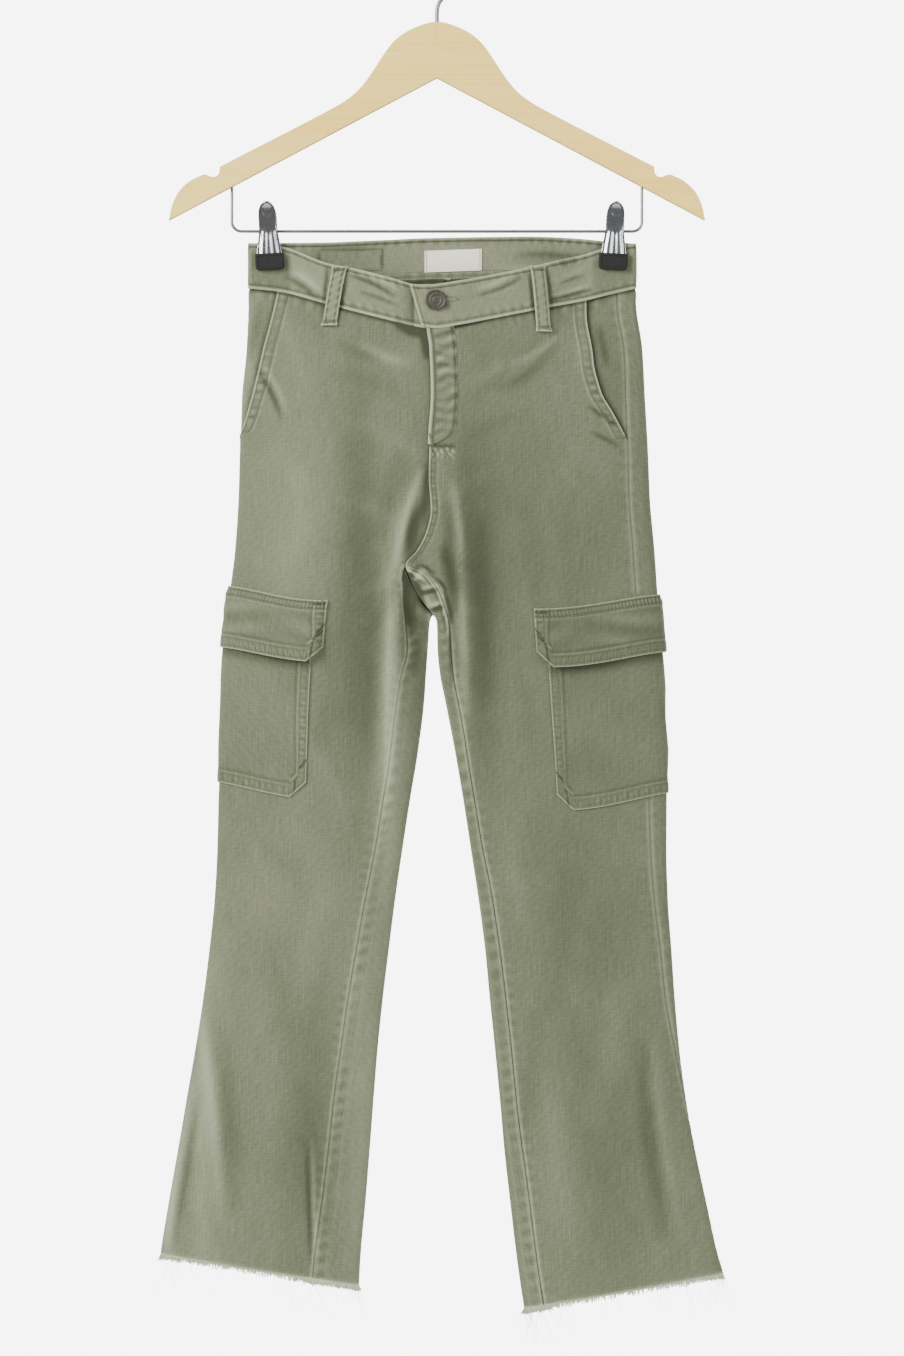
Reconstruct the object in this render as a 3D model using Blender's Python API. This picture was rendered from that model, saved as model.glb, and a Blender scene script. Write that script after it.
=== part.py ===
"""Cropped cargo jeans hanging from a wooden clip hanger.

The origin is the inside of the hook's top, where a rail carries the hanger. +Z is up, the jeans' front
faces -Y, and the wearer's left is at +X. Cloth is worked out in millimetres, as a cutter writes it, and
becomes metres when its mesh is made. A "drop" is a distance below the origin, and a "level" is the drop
of a row of cloth at the leg's outer edge: rows dip from there to the fly, the pockets and the hem.
"""

import math

import bmesh
import bpy
import numpy as np
from mathutils import Matrix, Vector

MM = 0.001

# Cloth walls and gaps, mm
TWILL = 1.2  # one ply of washed stretch twill
BAND_PLIES = 2.4  # folded and faced waistband
FLAP_PLIES = 1.6
LOOP_PLIES = 1.8
LABEL_PLY = 0.8
FRAY_PLY = 0.8
GAP = 0.3  # between pieces that touch

# Levels, mm
BAND_TOP = 250
PINCH_FOOT = 272  # the clips' pads pinch the waist down to here
BAND_SEAM = 285
HIPS_FULL = 400
DIP_FOOT = 430  # below this the rows no longer dip towards the fly
POCKET_FOOT = 415  # where a slant pocket's mouth meets the side seam
CROTCH = 517  # the crotch point, where four panels meet in front
FORK = 558  # the lowest point of the crotch seam
HEM = {"right": 1090, "left": 1106}
HEM_TILT = {"right": 25.8, "left": 28.8}  # how far the hem is lower at the inner edge
FRAY_REACH = 5

# Pocket sizes, mm
CARGO_HALF = 76  # half of a cargo pocket's width, which the side seam divides
FLAP_HALF = 85
CHAMFER = 13  # how far a pocket's or a flap's lower corners are cut off
MOUTH_FOLD = 8  # the stitched fold along a slant pocket's mouth
FLAP_STAND = 2.4  # how far a flap's free edge stands off the pocket
CARGO_TILT = 12  # how far a cargo pocket's rows drop towards its front edge
CARGO_ROWS = {"from": 480, "full": 530, "until": 720, "gone": 820}  # levels that this drop reaches
LEVELS = {
    "right": {
        "flap_top": 534, "mouth": 541, "flap_corner": 572, "flap_foot": 585,
        "body_corner": 684, "body_foot": 697,
    },
    "left": {
        "flap_top": 541, "mouth": 549, "flap_corner": 577, "flap_foot": 589,
        "body_corner": 693, "body_foot": 706,
    },
}
HIP_ROWS = [
    BAND_SEAM, 305, 330, 357, 382, 405, POCKET_FOOT, 445, 475, 500, CROTCH, 525, 534, 541, 549, FORK,
]
SHIN_ROWS = 8  # rows from the cargo pocket's foot to the hem
SHIN_TOP = 600  # the rows tilt towards the hem from here
SHIN_CURVE = 1.2  # more than 1, so that they tilt most near the hem

EDGE_ROUNDING = 0.35  # 0.5 gives elliptical edges, and less makes them blunter
EDGE_TURN = 0.12  # share of a leg's width over which a fold dies out at its edge
OVERLAP_OUT = 2.7  # how far the button end of the band stands in front of the other end
FLY_LAP = 1.5  # how far the fly's edge laps over the centre seam
FLY_COLUMNS = slice(8, 11)  # of the front panel's columns

# Trim, mm
LOOP_HALF = 5.5
LOOP_INSET = 0.5  # below the band's top edge
LABEL_HALF = 24
LABEL_MIDDLE = 13.5
LABEL_TOP = 253.5
LABEL_HEIGHT = 18
LABEL_TILT = 0.035
LABEL_STAND = 0.5  # off the inside of the band
BUTTON_X = -0.8
BUTTON_DROP = 297.6
BUTTON_PROFILE = (
    (0, 0), (4.2, 0), (4.2, 0.9), (7.9, 0.9), (8.5, 1.6), (8.5, 2.4), (7.9, 3), (6.6, 2.8), (5.6, 2.4),
    (0, 2.2),
)

# Hanger, mm
WOOD_DEPTH = 12
WOOD_ROUNDING = 1.6
CROWN_TOP = 65.2
HOOK_WIRE = 3.6
HOOK_RADIUS = 19  # inside
STEM_FOOT = 84  # the hook's stem ends inside the crown
BAR_WIRE = 2.6
BAR_DROP = 239
BAR_HALF = 170.5
BAR_CORNER = 8
BAR_END = 196  # inside the arms
CLIP_X = {"right": -138.9, "left": 146.4}
CLIP_LEAN = 3  # degrees, tops outwards
PAD_SIZE = (24, 4.8, 13.8)
PAD_DROP = 264.5  # its middle
PAD_ROUNDING = 1.4
JAW_PLATE = 1.2
JAW_CROWN = 0.7  # how far a jaw's edges curve back from its middle
COIL_RADIUS = 5.5
COIL_HALF = 5.5
BAND_LIFT = 0.6  # how far the band's face stands in front of the panels' face
PINCHED_HALF = 3.4  # half depth of the waist between the clips' pads


def table(columns, *rows):
    return {name: np.array(values, float) for name, values in zip(columns.split(), zip(*rows))}


# Outer edges of the legs and hips in the front view
OUTLINE = table(
    "drop right_outer left_outer",
    (246, -157, 165.5),
    (296, -157.2, 165.6),
    (338, -159, 171),
    (379, -163, 173.2),
    (421, -164, 175.6),
    (462, -165.2, 177.3),
    (504, -168, 181),
    (545, -173, 183.8),
    (587, -176.6, 186.4),
    (629, -178.9, 188.4),
    (670, -180.2, 190.3),
    (712, -181.8, 191.2),
    (753, -182.8, 191),
    (795, -185.1, 192.2),
    (837, -189.5, 195.2),
    (878, -194.7, 198),
    (920, -201.3, 201.8),
    (961, -208.4, 207.2),
    (1003, -215.6, 214.8),
    (1045, -223, 223.8),
    (1090, -230, 233.6),
    (1110, -232, 239),
)
# Inner edges of the legs, below the fork
LEG_GAP = table(
    "drop right left",
    (FORK, -3, -3),
    (560, -4.6, -1.4),
    (564, -5.9, -0.2),
    (587, -7.5, 0.4),
    (608, -9, 2.5),
    (629, -10.4, 6.7),
    (670, -15.4, 14.6),
    (712, -22.3, 21.8),
    (753, -28.6, 28.1),
    (795, -34.7, 34.5),
    (837, -40, 40),
    (878, -45, 43.9),
    (920, -49.3, 48.2),
    (961, -52.6, 52.2),
    (1003, -55.8, 55.9),
    (1045, -59.2, 60.6),
    (1086, -63, 65.4),
    (1116, -65, 69.5),
    (1135, -66, 72.5),
)
# The centre seams, from the band to the fork: fly edge and crotch seam in front, seat seam behind
CENTRE = table(
    "drop front back",
    (246, -7, 6),
    (320, -7, 4),
    (335, -5, 3),
    (374, -3.5, 1),
    (414, -6, 0),
    (445, -6.7, -1),
    (471, -5, -1.5),
    (488, -8.3, -2),
    (505, -16.6, -2.5),
    (CROTCH, -26, -3),
    (525, -23.5, -3),
    (534, -20, -3),
    (544, -14, -3),
    (552, -8, -3),
    (FORK, -3, -3),
)
# Waistband edges, along x
WAIST = table(
    "x front_top front_seam back_top back_seam",
    (-157, 248.5, 285, 248.5, 285),
    (-130, 251.5, 288, 248.3, 283),
    (-90, 266.5, 299, 247.5, 281.5),
    (-70, 270.5, 304.5, 246.5, 280.5),
    (-39, 278.5, 312.5, 245, 279),
    (-16, 284.5, 318, 243.8, 278),
    (-7, 284.8, 319.3, 243.5, 277.5),
    (20, 281, 316, 243, 277),
    (37, 277.8, 312.7, 242.7, 276.7),
    (75, 270, 305, 242.5, 277),
    (93, 265.5, 301.3, 243, 278),
    (122, 258.5, 295.5, 245, 280.5),
    (140, 253, 291, 247, 283),
    (166, 249, 285, 249, 285),
)
# Half depths of the pinched waist, by share of the way from the corner to the centre
PINCH = table(
    "share front back",
    (0, 0, 0),
    (0.008, 2.6, 2.6),
    (0.02, 3.6, 3.6),
    (0.035, 3.4, 3.4),
    (0.2, 3.4, 3.4),
    (0.28, 5.5, 4.6),
    (0.42, 12, 8),
    (0.68, 19, 12),
    (1, 23, 14),
)
# Half depths of the hips and legs at their fullest
DEPTH = table(
    "level front back",
    (250, 22, 16),
    (330, 24, 20),
    (420, 25, 26),
    (500, 24, 28),
    (558, 21, 24),
    (620, 17.5, 18.5),
    (700, 15, 15),
    (800, 13, 13),
    (900, 12, 12),
    (1000, 12.5, 12),
    (1110, 14, 13),
)
# Side seams and slant pocket mouths: mm in from the outer edge, less than 0 behind it
SEAMS = table(
    "level right_side left_side right_mouth left_mouth",
    (285, -4, 16, 25, 41.6),
    (314, -4, 15.6, 19.1, 41.6),
    (340, -4, 15.4, 14.1, 41.6),
    (371, -4, 16.2, 10.5, 36.6),
    (389, -4, 16.6, 6.5, 28.3),
    (405, -4, 17, 1.5, 21),
    (415, -4, 17, -4, 17),
    (460, -4, 17.8, -4, 17.8),
    (540, -4, 18.3, -4, 18.3),
    (708, -4, 15, -4, 15),
    (764, -4, 12.9, -4, 12.9),
    (820, -4.5, 10, -4.5, 10),
    (881, -7, 7.5, -7, 7.5),
    (932, -12, 2.5, -12, 2.5),
    (1000, -17, -1, -17, -1),
    (1050, -21, -3, -21, -3),
    (1110, -25, -5, -25, -5),
)
# Inseams: mm in from the leg's inner edge, on the front
INSEAM = table(
    "level right left",
    (CROTCH, 0, 0),
    (525, 4.8, 16),
    (534, 7.5, 20),
    (541, 11, 19.5),
    (549, 16.5, 16.3),
    (FORK, 22, 11.5),
    (564, 19.5, 10),
    (587, 16.6, 11),
    (607, 21, 10.8),
    (646, 23.3, 10.4),
    (691, 22.5, 9.2),
    (741, 22.7, 9.6),
    (775, 24, 11.2),
    (818, 26, 11.8),
    (867, 28.3, 13),
    (908, 30, 13.3),
    (943, 32.2, 13.3),
    (1004, 34.4, 15.4),
    (1049, 36.4, 15.8),
    (1110, 39, 16),
)
# The largest folds: face is 0 in front and 1 behind, height is outwards, reach is half the width
FOLDS = table(
    "face x_top x_foot top foot height reach",
    (0, -60, -80, 375, 740, -4, 17),
    (0, -35, -46, 520, 760, 3.5, 10),
    (0, -20, -26, 530, 600, -4, 7),
    (0, 32, 54, 380, 740, -4, 16),
    (0, 106, 30, 320, 385, -2.2, 9),
    (0, -110, -150, 760, 1000, -2.5, 16),
    (0, 150, 120, 760, 1040, -2, 20),
    (1, -70, -88, 400, 800, -3.5, 17),
    (1, 66, 84, 410, 820, -3.5, 17),
)


def read(rows, column, place):
    """The column at that place, on a smooth curve through the table's rows that never overshoots them."""
    keys = next(iter(rows.values()))
    values = rows[column]
    steps = np.diff(keys)
    slopes = np.diff(values) / steps
    tangents = np.zeros(len(keys))
    same_way = slopes[:-1] * slopes[1:] > 0
    sums = np.where(same_way, slopes[:-1] + slopes[1:], 1)
    tangents[1:-1] = np.where(same_way, 2 * slopes[:-1] * slopes[1:] / sums, 0)
    tangents[0], tangents[-1] = slopes[0], slopes[-1]
    place = min(max(place, keys[0]), keys[-1])
    row = min(max(int(np.searchsorted(keys, place, side="right")) - 1, 0), len(steps) - 1)
    t = (place - keys[row]) / steps[row]
    return float(
        (2 * t**3 - 3 * t**2 + 1) * values[row]
        + (t**3 - 2 * t**2 + t) * steps[row] * tangents[row]
        + (3 * t**2 - 2 * t**3) * values[row + 1]
        + (t**3 - t**2) * steps[row] * tangents[row + 1]
    )


def smooth(value, start, end):
    t = min(max((value - start) / (end - start), 0), 1)
    return t * t * (3 - 2 * t)


# ---- The shape of the hanging jeans: a face is "front" or "back", and a share runs from the outer edge
# at 0 to the leg's inner edge, or to the centre seam above the fork, at 1.


def row_drop(side, face, x, share, level):
    """How low a row lies at this share of the way in."""
    waist_dip = (read(WAIST, face + "_seam", x) - BAND_SEAM) * (1 - smooth(level, BAND_SEAM, DIP_FOOT))
    at_cargo = smooth(level, CARGO_ROWS["from"], CARGO_ROWS["full"])
    at_cargo *= 1 - smooth(level, CARGO_ROWS["until"], CARGO_ROWS["gone"])
    cargo_dip = CARGO_TILT * max(math.sin(math.pi * share), 0) ** 1.3 * at_cargo
    shin = max(level - SHIN_TOP, 0) / (HEM[side] - SHIN_TOP)
    return level + waist_dip + cargo_dip + HEM_TILT[side] * share * shin**SHIN_CURVE


def edges(side, face, level):
    """The outer and inner x of a row."""
    outer = read(OUTLINE, side + "_outer", level)
    inner_drop = row_drop(side, face, CENTRE["front"][0], 1, level)
    if inner_drop <= FORK:
        return outer, read(CENTRE, face, inner_drop), inner_drop
    return outer, read(LEG_GAP, side, inner_drop), inner_drop


def half_depth(face, share, level, inner_drop):
    share = min(max(share, 0), 1)
    open_ring = (share * (2 - share)) ** EDGE_ROUNDING
    closed_ring = (4 * share * (1 - share)) ** EDGE_ROUNDING
    down_the_fork = min(max((inner_drop - CROTCH) / (FORK - CROTCH), 0), 1)
    closing = 1 - math.sqrt(1 - down_the_fork**2)
    hip = read(DEPTH, face, level) * (open_ring * (1 - closing) + closed_ring * closing)
    hanging = smooth(level, PINCH_FOOT, HIPS_FULL)
    return read(PINCH, face, share) * (1 - hanging) + hip * hanging


def fold_height(face, x, drop, share):
    height = 0
    for i in range(len(FOLDS["face"])):
        if FOLDS["face"][i] != (face == "back"):
            continue
        top, foot = FOLDS["top"][i], FOLDS["foot"][i]
        along = (drop - top) / (foot - top)
        if not 0 < along < 1:
            continue
        middle = FOLDS["x_top"][i] + (FOLDS["x_foot"][i] - FOLDS["x_top"][i]) * along
        across = (x - middle) / FOLDS["reach"][i]
        height += FOLDS["height"][i] * math.exp(-(across**2)) * math.sin(math.pi * along) ** 0.8
    return height * smooth(share, 0, EDGE_TURN)


def body_point(side, face, share, level):
    """A point of the cloth's outer surface, in mm."""
    outer, inner, inner_drop = edges(side, face, level)
    x = outer + (inner - outer) * share
    drop = row_drop(side, face, x, share, level)
    depth = half_depth(face, share, level, inner_drop)
    at_inner_edge = 1 if inner_drop < FORK else smooth(1 - share, 0, EDGE_TURN)
    depth += fold_height(face, x, drop, share) * at_inner_edge
    return np.array((x, -depth if face == "front" else depth, -drop))


def waist_point(face, x, drop):
    """A point of the hips' outer surface, by its place in the front view."""
    side = "right" if x < CENTRE[face][0] else "left"
    level = drop
    for _ in range(4):
        outer, inner, _ = edges(side, face, level)
        share = (x - outer) / (inner - outer)
        level = drop - (row_drop(side, face, x, share, level) - level)
    return body_point(side, face, share, level)


# ---- Panels: grids of rows and columns on that shape


def share_of(side, face, distance, level):
    outer, inner, _ = edges(side, face, level)
    return distance / abs(inner - outer)


def at(side, distance, level):
    """The face and share that lie this far in from the outer edge, on the back where it is less than 0."""
    face = "front" if distance >= 0 else "back"
    return face, share_of(side, face, abs(distance), level)


def even_turns(start, end, count):
    """Shares from start to end, close together at a rounded edge."""
    first, last = (math.acos(1 - 2 * min(max(share, 0), 1)) for share in (start, end))
    turns = [first + (last - first) * (i + 1) / count for i in range(count)]
    return [(1 - math.cos(turn)) / 2 for turn in turns]


def front_places(side, level):
    seam = read(SEAMS, side + "_side", level)
    start = read(SEAMS, side + "_mouth", level)
    fold = 0 if start < -1 else start + MOUTH_FOLD
    next_fold = fold + MOUTH_FOLD
    corner = seam + CARGO_HALF - CHAMFER
    near = (start, fold, next_fold, (next_fold + corner) / 2, corner)
    distances = near + (seam + CARGO_HALF, seam + FLAP_HALF)
    places = [at(side, distance, level) for distance in distances]
    inseam = 1 - share_of(side, "front", read(INSEAM, side, level), level) if level > CROTCH else 1
    return places + [("front", share) for share in even_turns(places[-1][1], inseam, 4)]


def back_places(side, level):
    seam = read(SEAMS, side + "_side", level)
    fold = 0 if seam > 1 else seam - 6
    next_fold = fold - MOUTH_FOLD
    corner = seam - CARGO_HALF + CHAMFER
    near = (seam, fold, next_fold, (next_fold + corner) / 2, corner)
    distances = near + (seam - CARGO_HALF, seam - FLAP_HALF)
    places = [at(side, distance, level) for distance in distances]
    return places + [("back", share) for share in even_turns(places[-1][1], 1, 4)]


def fork_places(side, level):
    """The strip of a back panel that wraps forward between the inseam and the leg's inner edge."""
    inseam = 1 - share_of(side, "front", read(INSEAM, side, level), level)
    return [("front", inseam)] + [("front", share) for share in even_turns(inseam, 1, 2)]


def leg_rows(side):
    levels = LEVELS[side]
    middle = (levels["flap_foot"] + levels["body_corner"]) / 2
    cargo = [FORK + 6, levels["flap_corner"], levels["flap_foot"], middle, levels["body_corner"]]
    foot = levels["body_foot"]
    step = (HEM[side] - foot) / SHIN_ROWS
    return cargo + [foot + i * step for i in range(SHIN_ROWS + 1)]


def all_rows(side):
    return HIP_ROWS + leg_rows(side)


def grid_of(side, places, rows):
    return [[body_point(side, face, share, level) for face, share in places(side, level)] for level in rows]


def key(point):
    return tuple(int(round(value * 1000)) for value in point)


class Cloth:
    """A sheet of cloth as points and cells, which share the points that they have in common."""

    def __init__(self):
        self.points = []
        self.cells = []
        self.lift = {}
        self.index = {}

    def point(self, place, lift=0.0):
        name = key(place)
        if name not in self.index:
            self.index[name] = len(self.points)
            self.points.append(np.array(place, float))
            self.lift[self.index[name]] = lift
        return self.index[name]

    def cell(self, corners):
        kept = [corner for i, corner in enumerate(corners) if corner != corners[i - 1]]
        if len(kept) > 2:
            self.cells.append(kept)

    def grid(self, rows, turned, lifts=None):
        """Adds the cells of a grid. Turned grids run the other way round, so their cells are reversed."""
        numbered = [
            [self.point(place, lifts[r][c] if lifts else 0.0) for c, place in enumerate(row)]
            for r, row in enumerate(rows)
        ]
        for above, below in zip(numbered, numbered[1:]):
            for c in range(len(above) - 1):
                corners = [above[c], below[c], below[c + 1], above[c + 1]]
                self.cell(corners[::-1] if turned else corners)
        return numbered

    def cell_normal(self, cell):
        corners = [self.points[i] for i in cell]
        area = sum(np.cross(a, b) for a, b in zip(corners, corners[1:] + corners[:1]))
        return area / max(np.linalg.norm(area), 1e-9)

    def normals(self, shared=None):
        """Outward directions, and where another piece shares the point, the direction they agreed on."""
        sums = np.zeros((len(self.points), 3))
        for cell in self.cells:
            for i in cell:
                sums[i] += self.cell_normal(cell)
        for i, place in enumerate(self.points):
            if shared is not None and key(place) in shared:
                sums[i] = shared[key(place)]
        return sums / np.maximum(np.linalg.norm(sums, axis=1), 1e-9)[:, None]

    def borders(self):
        """Edges of one cell only, in the cell's own direction."""
        sides = {(a, b) for cell in self.cells for a, b in zip(cell, cell[1:] + cell[:1])}
        return [side for side in sides if side[::-1] not in sides]

    def trimmed(self, amount):
        """The points, with the sheet's borders moved in by this much."""
        moves = {}
        owners = {side: cell for cell in self.cells for side in zip(cell, cell[1:] + cell[:1])}
        for side in sorted(self.borders()):
            along = self.points[side[1]] - self.points[side[0]]
            inwards = np.cross(self.cell_normal(owners[side]), along)
            inwards /= np.linalg.norm(inwards)
            for end in side:
                moves.setdefault(end, []).append(inwards)
        places = [place.copy() for place in self.points]
        for i, ways in moves.items():
            total = sum(ways)
            if len(ways) > 1:
                total = total / max(1 + float(np.dot(ways[0], ways[1])), 0.5)
            places[i] += total * amount
        return places

    def wall(self, name, material, thickness, shared=None, trim=GAP / 2):
        """Makes the closed wall: its outer face is lifted off the sheet, and its inner one is below that."""
        normals = self.normals(shared)
        places = self.trimmed(trim)
        count = len(places)
        outer = [place + normals[i] * self.lift[i] for i, place in enumerate(places)]
        inner = [place + normals[i] * (self.lift[i] - thickness) for i, place in enumerate(places)]
        faces = list(self.cells) + [[i + count for i in cell[:1] + cell[:0:-1]] for cell in self.cells]
        faces += [[b, a, a + count, b + count] for a, b in self.borders()]
        return mesh_object(name, [tuple(p * MM) for p in outer + inner], faces, material)


def mesh_object(name, points, faces, material):
    mesh = bpy.data.meshes.new(name)
    mesh.from_pydata(points, [], faces)
    mesh.materials.append(material)
    obj = bpy.data.objects.new(name, mesh)
    bpy.context.scene.collection.objects.link(obj)
    return obj


def finish(name, colour, roughness, metallic=0.0):
    material = bpy.data.materials.new(name)
    material.use_nodes = True
    shader = material.node_tree.nodes["Principled BSDF"]
    shader.inputs["Base Color"].default_value = (*colour, 1)
    shader.inputs["Roughness"].default_value = roughness
    shader.inputs["Metallic"].default_value = metallic
    return material


class Panels:
    """The four panels' grids, and the outward direction that they agree on at each shared point."""

    def __init__(self):
        self.front, self.back, self.fork, self.sheets = {}, {}, {}, {}
        self.shared = {}
        for side in ("right", "left"):
            rows = all_rows(side)
            turned = side == "left"
            self.front[side] = grid_of(side, front_places, rows)
            self.back[side] = grid_of(side, back_places, rows)
            self.fork[side] = grid_of(side, fork_places, [row for row in rows if row >= CROTCH])
            front = Cloth()
            front.grid(self.front[side], turned)
            back = Cloth()
            back.grid(self.back[side], not turned)
            back.grid(self.fork[side], turned)
            self.sheets["front_" + side] = front
            self.sheets["back_" + side] = back
        for sheet in self.sheets.values():
            for cell in sheet.cells:
                for i in cell:
                    name = key(sheet.points[i])
                    self.shared[name] = self.shared.get(name, np.zeros(3)) + sheet.cell_normal(cell)


# ---- Cloth pieces


def make_panels(panels, twill):
    for name, sheet in panels.sheets.items():
        sheet.wall(name, twill, TWILL, panels.shared)


def make_pocket_facing(side, panels, twill):
    """The hip piece behind a slant pocket's mouth: level with the back panel, then under the front one."""
    tucked = -(TWILL + GAP)
    sheet = Cloth()
    rows, lifts = [], []
    for level in [row for row in HIP_ROWS if row < POCKET_FOOT]:
        seam = read(SEAMS, side + "_side", level)
        mouth = read(SEAMS, side + "_mouth", level)
        near = 0 if seam < 0 else seam + (mouth - seam) / 3
        distances = (seam, near, (near + mouth) / 2, mouth, mouth + MOUTH_FOLD)
        rows.append([body_point(side, *at(side, distance, level), level) for distance in distances])
        lifts.append([0, tucked * 0.25, tucked * 0.6, tucked, tucked])
    sheet.grid(rows, side == "left", lifts)
    sheet.wall("pocket_facing_" + side, twill, TWILL, panels.shared)


def make_cargo_pocket(side, panels, twill):
    """A patch pocket and its flap, made from the panels' points across the side seam and moved out."""
    rows = all_rows(side)
    row_of = {name: rows.index(level) for name, level in LEVELS[side].items()}
    turned = side == "left"
    last = 12
    around = {r: panels.back[side][r][6:0:-1] + panels.front[side][r][0:7] for r in range(len(rows))}

    def puff(row, column):
        across = math.sin(math.pi * (column - 1) / (last - 2)) if 1 <= column <= last - 1 else 0
        down = (row - row_of["mouth"]) / (row_of["body_foot"] - row_of["mouth"])
        return 0.9 * across * math.sin(math.pi * min(max(down, 0), 1)) ** 0.5

    def body_lift(row, column):
        return GAP + TWILL + puff(row, column)

    def flap_lift(row, column):
        if row == row_of["flap_top"] or column in (0, last):
            return GAP + FLAP_PLIES
        stand = FLAP_STAND * (row - row_of["flap_top"]) / (row_of["flap_foot"] - row_of["flap_top"])
        return body_lift(row, column) + GAP + FLAP_PLIES + stand

    def piece(name, first_row, corner_row, foot_row, first, wall, lift):
        """Full cells down to the corner row, then a last row whose two corners are cut off."""
        sheet = Cloth()
        columns = range(first, last + 1 - first)
        number = {
            (r, c): sheet.point(around[r][c], lift(r, c))
            for r in range(first_row, foot_row + 1)
            for c in columns
            if r < foot_row or 2 <= c <= last - 2
        }

        def cell(*places):
            corners = [number[place] for place in places]
            sheet.cell(corners[::-1] if turned else corners)

        for r in range(first_row, foot_row):
            whole = columns if r < corner_row else range(2, last - 1)
            for c in list(whole)[:-1]:
                cell((r, c), (r + 1, c), (r + 1, c + 1), (r, c + 1))
        r, near, far = corner_row, 2, last - 2
        if first == 1:
            cell((r, 1), (r + 1, near), (r, near))
            cell((r, far), (r + 1, far), (r, last - 1))
        else:
            cell((r, 1), (r, 0), (r + 1, near), (r, near))
            cell((r, last - 1), (r, far), (r + 1, far), (r, last))
        sheet.wall(name, twill, wall, panels.shared)

    body_rows = (row_of["mouth"], row_of["body_corner"], row_of["body_foot"])
    flap_rows = (row_of["flap_top"], row_of["flap_corner"], row_of["flap_foot"])
    piece("cargo_pocket_" + side, *body_rows, 1, TWILL, body_lift)
    piece("cargo_flap_" + side, *flap_rows, 0, FLAP_PLIES, flap_lift)


def make_fly_front(panels, twill):
    """The J-shaped placket on the left front, which laps a little over the right front."""
    overhang = np.array((-FLY_LAP, 0, 0))
    sheet = Cloth()
    foot = HIP_ROWS.index(POCKET_FOOT)
    rows = [panels.front["left"][r][FLY_COLUMNS] for r in range(foot + 1)]
    rows = [row + [row[-1] + overhang] for row in rows]
    lifts = [[GAP + TWILL] * 4 for _ in rows]
    upper = sheet.grid(rows[:-1], True, lifts[:-1])
    lower = [sheet.point(place, GAP + TWILL) for place in rows[-1][1:]]
    above = upper[-1]
    sheet.cell([above[1], lower[0], above[0]])
    for c in (1, 2):
        sheet.cell([above[c + 1], lower[c], lower[c - 1], above[c]])
    sheet.wall("fly_front", twill, TWILL, panels.shared)


def band_point(face, x, drop):
    """A point of the band's own surface, before it is lifted, or of the hips below the band's seam."""
    side = "right" if x < CENTRE[face][0] else "left"
    top, seam = read(WAIST, face + "_top", x), read(WAIST, face + "_seam", x)
    if drop > seam:
        return waist_point(face, x, drop)
    level = BAND_TOP + (BAND_SEAM - BAND_TOP) * (drop - top) / (seam - top)
    outer, inner, _ = edges(side, face, level)
    depth = half_depth(face, (x - outer) / (inner - outer), level, 0)
    return np.array((x, -depth if face == "front" else depth, -drop))


# The band's stops along x, from the button end round the back to the underlap
BAND_STOPS = (
    ("front", (-19, -7, 4, 14, 30, 48, 66, 84, 102, 118, 133, 146, 158, 163, 165.5)),
    ("back", (163, 158, 146, 133, 116, 98, 78, 56, 32, 6)),
    ("back", (-22, -50, -74, -94, -112, -127, -139, -150, -154.5)),
    ("front", (-157, -154.5, -150, -139, -127, -112, -96, -80, -62, -46, -30, -12, -1, 12)),
)


def make_waistband(twill):
    sheet = Cloth()
    rows, lifts = [[], []], [[], []]
    for i, (face, stops) in enumerate(BAND_STOPS):
        for x in stops:
            lap = 1 - smooth(x, 14, 48) if i == 0 else 0
            top, seam = read(WAIST, face + "_top", x), read(WAIST, face + "_seam", x)
            for row, drop in enumerate((top, seam - GAP)):
                rows[row].append(band_point(face, x, drop))
                lifts[row].append(BAND_LIFT + OVERLAP_OUT * lap)
    sheet.grid(rows, False, lifts)
    sheet.wall("waistband", twill, BAND_PLIES)


# A belt loop: how far down it is, as a share of the band's height, and how far it stands off there
LOOP = table(
    "down stand",
    (0, 0),
    (0.2, 1),
    (0.5, 2.2),
    (1, 1.8),
    (1.32, 0.7),
    (1.6, 0.1),
)


def make_belt_loop(name, face, x_top, x_foot, twill):
    """A folded strip from the band's top edge to below its seam, standing off the band for a belt."""
    top, seam = read(WAIST, face + "_top", x_top), read(WAIST, face + "_seam", x_foot)
    rows, lifts = [], []
    for down, stand in zip(LOOP["down"], LOOP["stand"]):
        x = x_top + (x_foot - x_top) * down / LOOP["down"][-1]
        drop = top + LOOP_INSET + (seam - top) * down
        rows.append([band_point(face, x + step, drop) for step in (-LOOP_HALF, 0, LOOP_HALF)])
        lifts.append([BAND_LIFT + GAP + LOOP_PLIES + stand] * 3)
    sheet = Cloth()
    sheet.grid(rows, face == "back", lifts)
    sheet.wall(name, twill, LOOP_PLIES, trim=0)


def make_size_label(ribbon):
    """The blank woven label inside the back band."""
    inside = BAND_LIFT - BAND_PLIES - LABEL_STAND
    steps = [LABEL_HALF * across for across in (1, 0.5, 0, -0.5, -1)]
    rows = [
        [band_point("back", LABEL_MIDDLE + step, LABEL_TOP + down - LABEL_TILT * step) for step in steps]
        for down in (0, LABEL_HEIGHT / 2, LABEL_HEIGHT)
    ]
    sheet = Cloth()
    sheet.grid(rows, False, [[inside] * len(steps)] * len(rows))
    sheet.wall("size_label", ribbon, LABEL_PLY, trim=0)


def make_hem_fray(side, panels, thread):
    """A plain solid of the raw hem's reach, all round the leg."""
    front, fork, back = (grid[side][-1] for grid in (panels.front, panels.fork, panels.back))
    hem = front + fork[1:] + back[-2:0:-1]
    hem.append(hem[0])
    foot = [place - np.array((0, 0, FRAY_REACH)) for place in hem]
    inset = -(TWILL - FRAY_PLY) / 2
    sheet = Cloth()
    sheet.grid([hem, foot], side == "left", [[inset] * len(hem)] * 2)
    sheet.wall("hem_fray_" + side, thread, FRAY_PLY)


# ---- Hard pieces


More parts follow.
